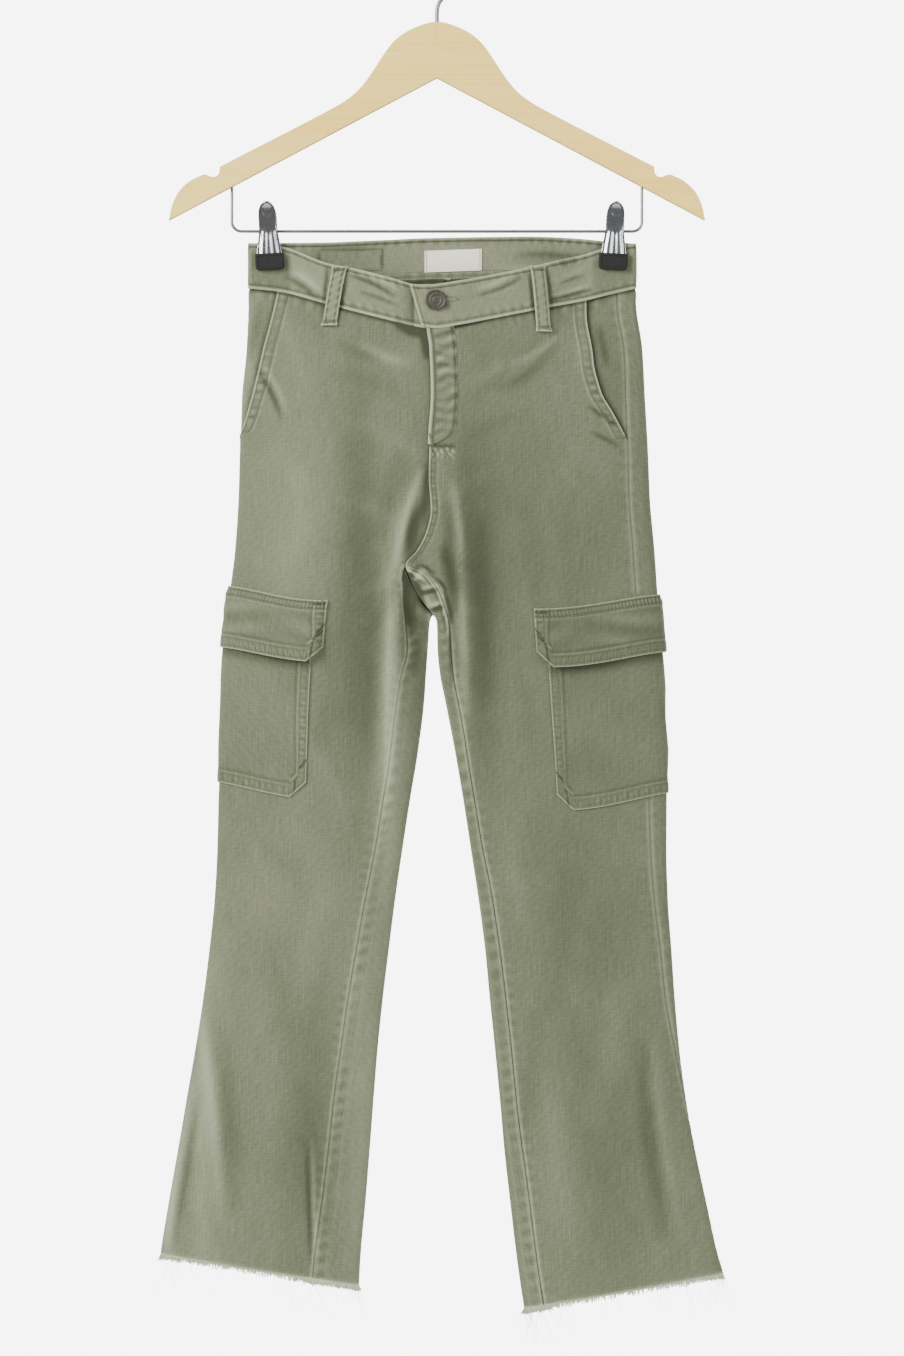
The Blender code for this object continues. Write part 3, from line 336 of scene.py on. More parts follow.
# Broad pale and dark patches: the wash's fades, with painted light and shade, mostly paler on the right leg, on the
# key light's side, and darker in broad folds and near the crotch
FADES_AND_PAINTED_SHADE = {
    "front": table(
        "x drop across down tone",
        (-60, 1000, 24, 190, 0.24), (-38, 740, 12, 150, 0.15), (-120, 470, 34, 110, 0.195),
        (-64, 560, 14, 170, -0.315), (-38, 640, 9, 130, 0.225), (-130, 780, 40, 90, 0.135),
        (-190, 960, 17, 160, 0.21), (-104, 1000, 30, 120, -0.225), (-150, 700, 30, 60, -0.075),
        (36, 540, 16, 150, -0.3), (22, 470, 8, 60, -0.225), (96, 470, 36, 120, -0.015),
        (120, 400, 24, 90, 0.09), (90, 520, 80, 180, -0.1), (124, 940, 80, 260, -0.12),
        (70, 700, 26, 80, 0.038), (110, 860, 40, 110, 0.09), (150, 1000, 40, 110, -0.09),
        (90, 1060, 24, 80, 0.075), (-20, 600, 8, 44, -0.375), (-19, 492, 6, 26, -0.413),
        (9, 500, 5, 34, -0.375), (100, 500, 44, 60, -0.12), (105, 790, 44, 90, -0.15),
        (-150, 620, 34, 60, 0.075), (-196, 960, 7, 120, 0.262), (-222, 1060, 6, 60, 0.262),
    ),
    "back": table(
        "x drop across down tone",
        (-80, 470, 46, 90, 0.165), (80, 470, 46, 90, 0.165), (-100, 760, 34, 110, 0.112),
        (104, 770, 34, 110, 0.112), (-60, 560, 22, 60, -0.225), (56, 560, 22, 60, -0.225),
    ),
}
# Creases across the band, by x and by share of its height
BAND_CREASES = table(
    "x_from down_from x_to down_to height reach",
    (-122, 0.35, -84, 0.6, 0.7, 3), (-120, 0.75, -70, 0.95, -0.6, 3), (-62, 0.4, -18, 0.65, 0.5, 3),
    (130, 0.3, 98, 0.55, 0.7, 3), (126, 0.75, 90, 0.9, -0.6, 3), (74, 0.35, 26, 0.6, 0.5, 3),
    (60, 0.7, 22, 0.4, -0.4, 3),
)
# How far a belt loop stands off the band, along its length in band heights
LOOP = table("down stand", (0, 0), (0.2, 1), (0.5, 2.2), (1, 1.8), (1.32, 0.7), (1.6, 0.1))
# A clip's jaw: how far out it stands, and half its width
JAW = table(
    "drop out half",
    (214.9, 15.9, 6.9), (218.8, 14.3, 6.9), (222.5, 12.7, 6.9), (229, 9.8, 6.9), (236, 7.7, 7),
    (243, 7.1, 7.6), (250, 7.1, 8.8), (259, 7.1, 10),
)


# ---- The form of the hanging cloth, on whole arrays of places at once


def read(rows, column, place):
    """The column at those places, on a smooth curve through the rows that never overshoots them."""
    keys = next(iter(rows.values()))
    values = rows[column]
    steps = np.diff(keys)
    slopes = np.diff(values) / steps
    same_way = slopes[:-1] * slopes[1:] > 0
    sums = np.where(same_way, slopes[:-1] + slopes[1:], 1)
    inner = np.where(same_way, 2 * slopes[:-1] * slopes[1:] / sums, 0)
    tangents = np.concatenate((slopes[:1], inner, slopes[-1:]))
    place = np.clip(place, keys[0], keys[-1])
    row = np.clip(np.searchsorted(keys, place, side="right") - 1, 0, len(steps) - 1)
    t = (place - keys[row]) / steps[row]
    return (
        (2 * t**3 - 3 * t**2 + 1) * values[row]
        + (t**3 - 2 * t**2 + t) * steps[row] * tangents[row]
        + (3 * t**2 - 2 * t**3) * values[row + 1]
        + (t**3 - t**2) * steps[row] * tangents[row + 1]
    )


def smooth(value, start, end):
    t = np.clip((value - start) / (end - start), 0, 1)
    return t * t * (3 - 2 * t)


def bump(value, middle, reach):
    return np.exp(-(((value - middle) / reach) ** 2))


def row_drop(side, face, x, share, level):
    """The drop along a row, which dips with the band, under the cargo pocket and towards the hem's inner end."""
    waist_dip = (read(WAIST, face + "_seam", x) - BAND_SEAM) * (1 - smooth(level, BAND_SEAM, DIP_FOOT))
    at_cargo = smooth(level, CARGO_ROWS["from"], CARGO_ROWS["full"])
    at_cargo = at_cargo * (1 - smooth(level, CARGO_ROWS["until"], CARGO_ROWS["gone"]))
    cargo_dip = CARGO_TILT * np.maximum(np.sin(np.pi * share), 0) ** 1.3 * at_cargo
    shin = np.maximum(level - SHIN_TOP, 0) / (HEM[side] - SHIN_TOP)
    return level + waist_dip + cargo_dip + HEM_TILT[side] * share * shin**SHIN_CURVE


def edges(side, face, level):
    """The outer and inner x of a row, and the drop of its inner end."""
    outer = read(OUTLINE, side + "_outer", level)
    inner_drop = row_drop(side, face, CENTRE["front"][0], 1, level)
    inner = np.where(inner_drop <= FORK, read(CENTRE, face, inner_drop), read(LEG_GAP, side, inner_drop))
    return outer, inner, inner_drop


def half_depth(face, share, level, inner_drop):
    """How far the face stands from the middle: pinched at the band, one open ring at the hips, one in each leg."""
    share = np.clip(share, 0, 1)
    open_ring = (share * (2 - share)) ** EDGE_ROUNDING
    closed_ring = (4 * share * (1 - share)) ** EDGE_ROUNDING
    down_the_fork = np.clip((inner_drop - CROTCH) / (FORK - CROTCH), 0, 1)
    at_centre = smooth(share, 0.8, 1)
    closing = at_centre * (1 - np.sqrt(1 - down_the_fork**2)) + (1 - at_centre) * smooth(down_the_fork, 0, 1)
    hip = read(DEPTH, face, level) * (open_ring * (1 - closing) + closed_ring * closing)
    hanging = smooth(level, PINCH_FOOT, HIPS_FULL)
    return read(PINCH, face, share) * (1 - hanging) + hip * hanging


def large_folds(face, x, drop):
    height = np.zeros(np.shape(x))
    for x_top, x_foot, top, foot, rise, reach in zip(*FOLDS[face].values()):
        along = np.clip((drop - top) / (foot - top), 0, 1)
        height = height + rise * bump(x, x_top + (x_foot - x_top) * along, reach) * np.sin(np.pi * along) ** 0.8
    return height


def strokes(rows, x, drop):
    """The sum of a table's lines; each bows a little and dies away at both of its ends."""
    height = np.zeros(np.shape(x))
    for x_top, drop_top, x_foot, drop_foot, bow, rise, reach in zip(*rows.values()):
        across, down = x_foot - x_top, drop_foot - drop_top
        length = np.hypot(across, down)
        along = np.clip(((x - x_top) * across + (drop - drop_top) * down) / length**2, 0, 1)
        off = ((x - x_top) * down - (drop - drop_top) * across) / length - bow * np.sin(np.pi * along)
        height = height + rise * bump(off, 0, reach) * np.sin(np.pi * along) ** 0.7
    return height


def slack(face, x, drop):
    """Broad unevenness of cloth that hangs loose, a few tenths of a millimetre."""
    way = 1 if face == "front" else -1
    broad = np.sin(x / 17 + 1.3 * np.sin(drop / 61) + way) * np.sin(drop / 43 + x / 90)
    return 0.35 * broad + 0.2 * np.sin(drop / 19 + 2 * np.sin(x / 37)) * np.sin(x / 29 + way)


def on_face(side, face, share, level):
    """Points of the front or the back of one side, with its folds and creases."""
    outer, inner, inner_drop = edges(side, face, level)
    x = outer + (inner - outer) * share
    drop = row_drop(side, face, x, share, level)
    depth = half_depth(face, share, level, inner_drop)
    inside = 1 - smooth(inner_drop, CROTCH, FORK) * (1 - smooth(1 - share, 0, EDGE_TURN))
    loose = smooth(level, BAND_SEAM, BAND_SEAM + 14) * (1 - 0.6 * smooth(level, HEM[side] - 20, HEM[side]))
    depth = depth + large_folds(face, x, drop) * smooth(share, 0, EDGE_TURN) * inside
    fine = strokes(CREASES[face], x, drop) + slack(face, x, drop)
    depth = depth + fine * smooth(share, 0, 2 * EDGE_TURN) * inside * loose
    return np.stack((x, -depth if face == "front" else depth, -drop), -1)


def share_at(turn):
    return (1 - np.cos(turn)) / 2


def turn_at(share):
    return np.arccos(1 - 2 * np.clip(share, 0, 1))


def surface_point(side, turn, level):
    turn, level = np.broadcast_arrays(np.asarray(turn, float), np.asarray(level, float))
    below_fork = edges(side, "front", level)[2] > FORK
    wrapped = np.where(below_fork, (turn + np.pi) % (2 * np.pi) - np.pi, np.clip(turn, -np.pi, np.pi))
    turn = np.where(np.abs(turn) > np.pi, wrapped, turn)
    front, back = (on_face(side, face, share_at(turn), level) for face in ("front", "back"))
    return np.where((turn >= 0)[..., None], front, back)


def surface(side, turn, level):
    """Points of the cloth's outer face, in mm, and the outward directions there."""
    around = surface_point(side, turn + 0.006, level) - surface_point(side, turn - 0.006, level)
    down = surface_point(side, turn, level + 0.6) - surface_point(side, turn, level - 0.6)
    return surface_point(side, turn, level), unit(np.cross(around, down)) * (1 if side == "left" else -1)


def unit(directions):
    return directions / np.maximum(np.linalg.norm(directions, axis=-1, keepdims=True), 1e-9)


def turn_from(side, distance, level):
    """The turn that lies this far in from the outer edge, in front, or behind where it is less than 0."""
    front, back = (np.abs(np.subtract(*edges(side, face, level)[:2])) for face in ("front", "back"))
    return np.sign(distance) * turn_at(np.abs(distance) / np.where(distance >= 0, front, back))


def fade_and_painted_shade(points, face):
    """Broad pale and dark patches: the wash's fades, with painted light and shade."""
    tone = np.zeros(points.shape[:-1])
    for x, drop, across, down, amount in zip(*FADES_AND_PAINTED_SHADE[face].values()):
        tone += amount * bump(points[..., 0], x, across) * bump(-points[..., 2], drop, down)
    return tone


def ripple(along, seed, length=9.0):
    """Uneven waves, from -1 to 1, as a washed seam draws up."""
    drift = 1.9 * np.sin(along / 29 + seed) + 1.1 * np.sin(along / 13.1 + 2 * seed)
    strength = 0.62 + 0.38 * np.sin(along / 21 + 3 * seed)
    return np.sin(2 * np.pi * along / length + drift) * strength


# ---- Sheets: grids of places with a lift off the form and a tone, made into closed thin shells


def index_at(runs, distance, from_end):
    """For each run of distances, the fractional index this far from its start, or from its end."""
    count = np.arange(runs.shape[1])
    return np.array([np.interp(run[-1] - distance if from_end else distance, run, count) for run in runs])


class Grid:
    """Rows down and columns across, with the distance run along each."""

    def __init__(self, places, outward):
        self.places = places
        self.outward = outward
        self.lift = np.zeros(places.shape[:2])
        self.tone = np.zeros(places.shape[:2])
        self.levels = np.arange(len(places))[:, None]
        across = np.linalg.norm(np.diff(places, axis=1), axis=2)
        down = np.linalg.norm(np.diff(places, axis=0), axis=2)
        self.across = np.pad(np.cumsum(across, axis=1), ((0, 0), (1, 0)))
        self.down = np.pad(np.cumsum(down, axis=0), ((1, 0), (0, 0)))
        self.across_left = self.across[:, -1:] - self.across
        self.down_left = self.down[-1:] - self.down
        self.flat = np.stack((self.across, self.down), -1)

    def hang_plumb(self):
        """Lets the weave run straight down from the waist, whichever way the borders lean."""
        middle = self.places.shape[1] // 2
        way = 1 if self.places[0, -1, 0] > self.places[0, 0, 0] else -1
        from_middle = self.across - self.across[:, middle, None]
        self.flat = np.stack((self.places[:, middle, None, 0] + way * from_middle, -self.places[..., 2]), -1)

    def mark(self, distance, rows, amount=1.0):
        """Ridges and lines along an edge: rows of their distance from it, reach to each side, lift and tone."""
        for middle, reach, lift, tone in rows:
            peak = amount * bump(distance, middle, reach)
            self.lift += lift * peak
            self.tone += tone * peak

    def cut(self):
        """The flat width, length and area in metres."""
        cells = np.diff(self.across, axis=1)[:-1] * np.diff(self.down, axis=0)[:, :-1]
        return self.across[:, -1].max() * MM, self.down[-1].max() * MM, cells.sum() * MM * MM

    def at(self, row, column):
        """Places on the lifted face and outward directions at fractional rows and columns."""
        row, column = np.broadcast_arrays(np.asarray(row, float), np.asarray(column, float))
        r = np.clip(row.astype(int), 0, self.places.shape[0] - 2)
        c = np.clip(column.astype(int), 0, self.places.shape[1] - 2)
        fr, fc = (row - r)[..., None], (column - c)[..., None]

        def mix(values):
            top = values[r, c] * (1 - fc) + values[r, c + 1] * fc
            foot = values[r + 1, c] * (1 - fc) + values[r + 1, c + 1] * fc
            return top * (1 - fr) + foot * fr

        return mix(self.places + self.outward * self.lift[..., None]), mix(self.outward)

    def column_at(self, distance, from_end=False):
        return index_at(self.across, distance, from_end)

    def row_at(self, distance, from_end=False):
        return index_at(self.down.T, distance, from_end)


def shell(name, grids, material, wall):
    """One closed shell from grids that share their common border points. UVs are metres along the cloth."""
    places, outward, flat = (
        np.concatenate([getattr(grid, part).reshape(-1, size) for grid in grids])
        for part, size in (("places", 3), ("outward", 3), ("flat", 2))
    )
    lift, tone = (np.concatenate([getattr(grid, part).ravel() for grid in grids]) for part in ("lift", "tone"))
    thick = np.concatenate([np.broadcast_to(wall, grid.lift.shape).ravel() for grid in grids])
    quads, first = [], 0
    for grid in grids:
        number = np.arange(grid.lift.size).reshape(grid.lift.shape) + first
        first += grid.lift.size
        block = np.stack((number[:-1, :-1], number[1:, :-1], number[1:, 1:], number[:-1, 1:]), -1).reshape(-1, 4)
        corner = places[block]
        facing = np.cross(corner[:, 2] - corner[:, 0], corner[:, 3] - corner[:, 1])
        quads.append(block[:, ::-1] if (facing * outward[block].sum(1)).sum() < 0 else block)
    _, kept, index = np.unique(np.round(places * 1000), axis=0, return_index=True, return_inverse=True)
    places, outward, lift, tone, thick, flat = (
        values[kept] for values in (places, outward, lift, tone, thick, flat)
    )
    quads = index.reshape(-1)[np.concatenate(quads)]
    count = len(places)
    ends = np.stack((quads, np.roll(quads, -1, axis=1)), -1).reshape(-1, 2)
    ends = ends[ends[:, 0] != ends[:, 1]]
    known = set(map(tuple, ends.tolist()))
    rim = np.array([side for side in known if side[::-1] not in known])
    rim_quads = np.stack((rim[:, 1], rim[:, 0], rim[:, 0] + count, rim[:, 1] + count), -1)
    faces = np.concatenate((quads, quads[:, ::-1] + count, rim_quads))
    points = np.concatenate((places + outward * lift[:, None], places + outward * (lift - thick)[:, None]))
    obj = mesh_object(name, points, faces, material)
    attribute = obj.data.attributes.new("tone", "FLOAT", "POINT")
    attribute.data.foreach_set("value", np.tile(tone, 2).astype(np.float32))
    loops = np.empty(len(obj.data.loops), np.int32)
    obj.data.loops.foreach_get("vertex_index", loops)
    uv = obj.data.uv_layers.new(name="Cloth")
    uv.data.foreach_set("uv", (np.tile(flat, (2, 1)) * MM)[loops].astype(np.float32).ravel())
    return obj


def mesh_object(name, points, faces, material):
    """A mesh from points in mm and an array of quads, in which a repeated corner makes a triangle."""
    faces = np.asarray(faces)
    same = faces == np.roll(faces, 1, axis=1)
    faces, same = faces[same.sum(1) < 2], same[same.sum(1) < 2]
    mesh = bpy.data.meshes.new(name)
    mesh.vertices.add(len(points))
    mesh.vertices.foreach_set("co", np.asarray(points * MM, np.float32).ravel())
    corners = faces[~same].astype(np.int32)
    mesh.loops.add(len(corners))
    mesh.loops.foreach_set("vertex_index", corners)
    mesh.polygons.add(len(faces))
    starts = np.concatenate(([0], np.cumsum(4 - same.sum(1))[:-1])).astype(np.int32)
    mesh.polygons.foreach_set("loop_start", starts)
    mesh.update(calc_edges=True)
    mesh.validate()
    mesh.shade_smooth()
    mesh.set_sharp_from_angle(angle=math.radians(58))
    mesh.materials.append(material)
    obj = bpy.data.objects.new(name, mesh)
    bpy.context.scene.collection.objects.link(obj)
    return obj


# ---- Panels


def spread(count, ends=0.5):
    """Steps from 0 to 1 that are closer together at both ends, where the seams are."""
    even = np.linspace(0, 1, count)
    return even - ends * np.sin(2 * np.pi * even) / (2 * np.pi)


def levels_between(top, foot, step, kept=()):
    levels = np.linspace(top, foot, max(round((foot - top) / step), 1) + 1)
    for level in kept:
        if top < level < foot:
            levels[np.abs(levels - level).argmin()] = level
    return levels


def panel_levels(side, step):
    """Levels of a panel's rows, twice as close where the seams cross at the crotch."""
    upper = levels_between(BAND_SEAM, CROTCH - 10, step, (POCKET_FOOT,))
    middle = levels_between(CROTCH - 10, FORK + 32, step / 2, (CROTCH, FORK))
    lower = levels_between(FORK + 32, HEM[side], step)
    return np.concatenate((upper, middle[1:], lower[1:]))


def between(start, end, steps):
    """A row for each start and end, with its places at those steps of the way."""
    return start[:, None] + (end - start)[:, None] * steps


def narrowed(start, end, steps):
    """Turns from the start round to the end, in columns that lean evenly inward where the end moves away."""
    turns = between(start, np.full(len(start), np.pi), steps)
    first, last = share_at(np.maximum(start, 0))[:, None], share_at(end)[:, None]
    shares = first + (share_at(turns) - first) * (last - first) / (1 - first)
    return np.where(turns > 0, turn_at(shares), turns)


def rows_on(side, turns, levels):
    """A grid of the turns given for each of the levels."""
    grid = Grid(*surface(side, turns, np.broadcast_to(levels[:, None], turns.shape)))
    grid.levels = levels[:, None]
    grid.hang_plumb()
    return grid


def inseam_turn(side, levels):
    """The turn at which the front panel ends: at the centre, and below the crotch at the inseam."""
    even = np.arange(CROTCH - 30.0, HEM[side] + 31)
    _, inner, _ = edges(side, "front", even)
    seam = inner + np.where(even > CROTCH, read(INSEAM, side, even), 0) * (1 if side == "left" else -1)
    evened = 15
    soft = np.convolve(np.pad(seam, evened // 2, mode="edge"), np.ones(evened) / evened, "valid")
    seam = seam + (soft - seam) * smooth(even, CROTCH + 6, CROTCH + 22)
    outer, inner, _ = edges(side, "front", levels)
    strip = np.where(levels > CROTCH, np.abs(np.interp(levels, even, seam) - inner), 0)
    return turn_at(1 - strip / np.abs(inner - outer))


def under_cargo(side, grid):
    """1 where a cargo pocket lies on the panel, so that nothing there pokes into it."""
    rows, level = LEVELS[side], grid.levels
    over = smooth(level, rows["flap_top"] - 6, rows["flap_top"])
    over = over * (1 - smooth(level, rows["body_foot"], rows["body_foot"] + 6))
    return over * (1 - smooth(grid.across, FLAP_HALF, FLAP_HALF + 6))


def plain_seam(grid, distance, seed, amount=1.0):
    """An overlocked seam seen from outside: a groove, with drawn-up cloth beside it that gets painted highlights
    and shade.
    """
    waves = ripple(grid.down + 0.3 * distance, seed, 11)
    grid.mark(distance, ((5, 4.5, 0.2, 0), (4, 4, 0, 0.12)), amount * waves)
    grid.mark(distance, ((0, 1.3, -0.45, 0), (1.7, 1.3, 0, 0.5), (0, 0.8, 0, -0.3)), amount)


def felled_seam(grid, distance, seed, width=7.0, amount=1.0, pitch=6.4, contrast=1.0):
    """A folded and topstitched band along an edge: thicker and puckered, with its edge worn pale, painted
    highlights and shade on its puckers and painted shade in its needle lines.
    """
    waves = 0.6 * ripple(grid.down + 0.2 * distance, seed, pitch) + 0.4 * ripple(grid.down, seed + 2, 1.7 * pitch)
    inside = amount * (1 - smooth(distance, width - 0.6, width + 0.9))
    toned = amount * contrast
    middle = width / 2
    grid.lift += 0.6 * inside
    grid.mark(distance, ((middle, width / 2.2, 0.34, 0),), inside * waves)
    grid.mark(distance, ((middle, middle, 0, 0.36),), toned * waves)
    grid.mark(distance, ((width + 0.6, 1.1, 0, 0.3), (0, 1.3, 0, 1)), toned)
    for line in (2, width - 0.8):
        grid.mark(distance, ((line, 0.9, -0.3, 0),), amount)
        grid.mark(distance, ((line, 0.8, 0, -0.5),), toned * (0.7 + 0.3 * waves))


def common_finish(face, grid):
    """Wash tones with painted light and shade, hem and the drawn-up cloth under the band."""
    x, drop = grid.places[..., 0], -grid.places[..., 2]
    # the crease and fold heights also darken the tone in their hollows and lighten it on their ridges: painted
    # shade and painted highlights
    grid.tone += fade_and_painted_shade(grid.places, face) + 0.13 * strokes(CREASES[face], x, drop) + strokes(PAINTED_SHADE_AND_WEAR[face], x, drop)
    grid.tone += 0.03 * np.clip(large_folds(face, x, drop), -5, 5)
    if grid.levels[0] < BAND_SEAM + 1:
        # under the band: painted highlights and shade on the drawn-up puckers, and a painted shadow just under the
        # band's foot
        grid.mark(grid.down, ((6, 5, 0.35, 0), (5, 5, 0, 0.22)), ripple(grid.across, 4.2, 11))
        grid.mark(grid.down, ((2.4, 1.6, 0, -0.95),))
        grid.lift -= 0.9 * (1 - smooth(grid.down, 1.6, 4.5))
    grid.tone += 1.3 * (1 - smooth(grid.down_left, 0, 3.2))
    curl = np.sin(grid.across / 15 + 1.7 * np.sin(grid.across / 41)) * (1 - smooth(grid.down_left, 0, 26))
    grid.lift += 0.7 * curl * smooth(grid.down_left, -2, 4)


def front_grid(side, sizes):
    levels = panel_levels(side, sizes.mesh_step)
    start = turn_from(side, read(SEAMS, side + "_mouth", levels), levels)
    grid = rows_on(side, narrowed(start, inseam_turn(side, levels), spread(70)), levels)
    from_inner = grid.across_left
    at_mouth = 1 - smooth(grid.levels, POCKET_FOOT - 12, POCKET_FOOT + 2)
    below_crotch = smooth(grid.levels, CROTCH - 4, CROTCH + 6)
    felled_seam(grid, grid.across, 1.1, MOUTH_FOLD + 1.6, at_mouth, 6.8, 1.3)
    plain_seam(grid, grid.across, 2.3, 0.7 * (1 - at_mouth) * (1 - under_cargo(side, grid)))
    plain_seam(grid, from_inner, 3.7, below_crotch)
    if side == "left":
        below_fly = smooth(grid.levels, FLY_FOOT - 4, FLY_FOOT + 4) * (1 - below_crotch)
        felled_seam(grid, from_inner, 0.4, 6, below_fly, 5.2)
        grid.mark(grid.levels, ((FLY_FOOT + 1.5, 1.6, -0.5, -0.8),), 1 - smooth(from_inner, 17, 23))
        # the zigzag tack below the fly
        tack = bump(grid.levels, FLY_FOOT + 7, 5) * (1 - smooth(from_inner, 17, 24))
        zigzag = np.sin(from_inner * 1.34 + 1.5 * np.sin(grid.levels * 0.75))
        zigzag = zigzag * (0.55 + 0.45 * np.sin(grid.levels * 1.25 + from_inner * 0.7))
        grid.lift += 0.35 * tack * zigzag
        grid.tone += tack * (0.2 + 1.1 * zigzag)
    else:
        grid.mark(from_inner, ((0, 1.6, -0.5, 0),), 1 - below_crotch)
        # painted shadow on the right panel beside the fly's lap, deepest near the top
        shade = 0.55 + 0.5 * (1 - smooth(grid.levels, 318, 352))
        grid.tone -= shade * (1 - below_crotch) * np.exp(-from_inner / 2.6)
    common_finish("front", grid)
    return grid


def back_grids(side, sizes):
    """The back panel, and its fork that wraps forward below the crotch."""
    levels = panel_levels(side, sizes.mesh_step)
    start = turn_from(side, read(SEAMS, side + "_side", levels), levels)
    back = rows_on(side, between(start, np.full(len(levels), -np.pi), spread(72)), levels)
    plain_seam(back, back.across, 2.3, 0.7 * (1 - under_cargo(side, back)))
    if side == "left":
        felled_seam(back, back.across_left, 0.9, 7.5, 1 - smooth(back.levels, CROTCH - 16, CROTCH - 3))
    else:
        back.mark(back.across_left, ((0, 1.6, -0.5, 0),), 1 - smooth(back.levels, FORK - 4, FORK))
    common_finish("back", back)
    below = levels[levels >= CROTCH]
    fork = rows_on(side, between(np.full(len(below), np.pi), inseam_turn(side, below), spread(27, 0.3)), below)
    join = len(levels) - len(below)
    way = 1 if side == "right" else -1
    fork.flat[..., 0] = back.flat[join:, -1:, 0] + way * fork.across
    waves = ripple(fork.down + 0.25 * fork.across_left, 3.7, 12)
    growing = smooth(fork.levels, CROTCH, FORK)
    inside = growing * (1 - smooth(fork.across_left, 9.5, 12))
    fork.lift += 0.45 * inside
    fork.mark(fork.across_left, ((5, 5, 0.3, 0),), inside * waves)
    # painted highlights and shade on the strip's puckers
    fork.mark(fork.across_left, ((5, 5, 0, 0.2),), growing * waves)
    fork.mark(fork.across_left, ((1.2, 1.4, 0, 0.35), (11, 1.6, 0, 0.16)), growing)
    crotch_folds(fork, side)
    common_finish("front", fork)
    for part in ("lift", "tone"):
        of_back, of_fork = getattr(back, part), getattr(fork, part)
        of_back[join:, -1] = of_fork[:, 0] = np.minimum(of_back[join:, -1], of_fork[:, 0])
    return back, fork


def crotch_folds(fork, side):
    """Where four seams meet at the crotch: stiff lumps and folds, and a deep hollow under the left leg's strip,
    with painted shade in the folds and the hollow and painted highlights on the lumps and the strip's edge.
    """
    near = 1 - smooth(fork.levels, FORK - 6, FORK + 26)
    if side == "left":
        share = fork.across / np.maximum(fork.across[:, -1:], 1)
        folds = sum(
            bump(fork.levels + 5 * (share - 0.5), level, reach)
            for level, reach in ((523, 2.6), (537, 2.2), (552, 2.4), (566, 3))
        )
        raised = smooth(fork.across, 0.5, 6) * np.sin(np.pi * share) ** 0.5
        fork.lift += near * raised * (1.3 - 1.1 * folds)
        fork.tone += near * (0.25 - 0.5 * folds)
        fork.mark(fork.across_left, ((0.4, 1.3, 0, 0.85), (3.2, 1, 0, -0.6)), near)
    else:
        fork.mark(fork.across, ((0, 6.5, -1.6, -1.5),), 1 - smooth(fork.levels, FORK - 14, FORK + 4))
        fork.mark(fork.across_left, ((11, 4, 1, 0.4), (3, 4, 0, -0.8)), near)


def facing_grid(side):
    """The hip piece behind a slant pocket's mouth."""
    levels = levels_between(BAND_SEAM, POCKET_FOOT - 0.5, 2.4)
    mouth = read(SEAMS, side + "_mouth", levels) + MOUTH_FOLD
    ends = (turn_from(side, at, levels) for at in (read(SEAMS, side + "_side", levels), mouth))
    grid = rows_on(side, between(*ends, np.linspace(0, 1, 18)), levels)
    open_width = np.maximum(grid.across_left - MOUTH_FOLD, 0)
    tucked = 1 - np.clip(open_width / np.maximum(grid.across[:, -1:] - MOUTH_FOLD, 1), 0, 1)
    grid.lift -= (TWILL + GAP) * tucked**0.8
    plain_seam(grid, grid.across, 2.3, 0.6)
    # painted shadow along the pocket's mouth, under its edge
    grid.mark(open_width, ((0, 3.6, 0, -0.75),))
    # painted light: the right facing, on the key light's side, paler, the left one darker
    grid.tone += 0.25 if side == "right" else -0.15
    common_finish("front", grid)
    return grid


# ---- Pieces that lie on the panels


def patch_grid(side, half, top, foot, corner, steps):
    """A patch across the side seam, from its back edge to its front one, with its lower corners cut off."""
    count, rows = steps
    across = np.linspace(-half, half, count)[None]
    to_side = half - np.abs(across)
    foot = foot - corner * np.clip(1 - to_side / CHAMFER, 0, 1)
    levels = top + (foot - top) * np.linspace(0, 1, rows)[:, None]
    grid = Grid(*surface(side, turn_from(side, read(SEAMS, side + "_side", levels) + across, levels), levels))
    grid.levels = levels
    grid.hang_plumb()
    grid.to_side = np.minimum(grid.across, grid.across_left)
    grid.to_foot = grid.down_left * np.where(to_side < CHAMFER, 0.72, 1)
    grid.edge = np.minimum(grid.to_side, grid.to_foot)
    # the wash's fades with painted light and shade, from the face the patch lies on
    fades_and_shade_here = fade_and_painted_shade(grid.places, "front"), fade_and_painted_shade(grid.places, "back")
    grid.tone += np.where(grid.places[..., 1] < 0, *fades_and_shade_here)
    return grid


def cargo_body_grid(side):
    rows = LEVELS[side]
    grid = patch_grid(side, CARGO_HALF, rows["mouth"], rows["body_foot"], 13, (120, 112))
    across = np.sin(np.pi * np.clip(grid.across / grid.across[:, -1:], 0, 1))
    down = np.sin(np.pi * np.clip(grid.down / grid.down[-1:], 0, 1))
    grid.lift += GAP + TWILL + 0.9 * across * down**0.5
    hem_band(grid, 9.2, 5.1, 4.6)
    slack_waves = 0.3 * np.sin(grid.down / 11 + np.sin(grid.across / 16)) * np.sin(grid.across / 23 + 1)
    grid.lift += slack_waves * smooth(grid.edge, 10, 24)
    # painted highlights and shade on the slack's waves, and a little darker overall
    grid.tone += 0.1 * slack_waves - 0.04
    # painted shadow under the flap's foot
    grid.mark(grid.levels, ((rows["flap_foot"] + 2, 5, 0, -0.5),))
    return grid


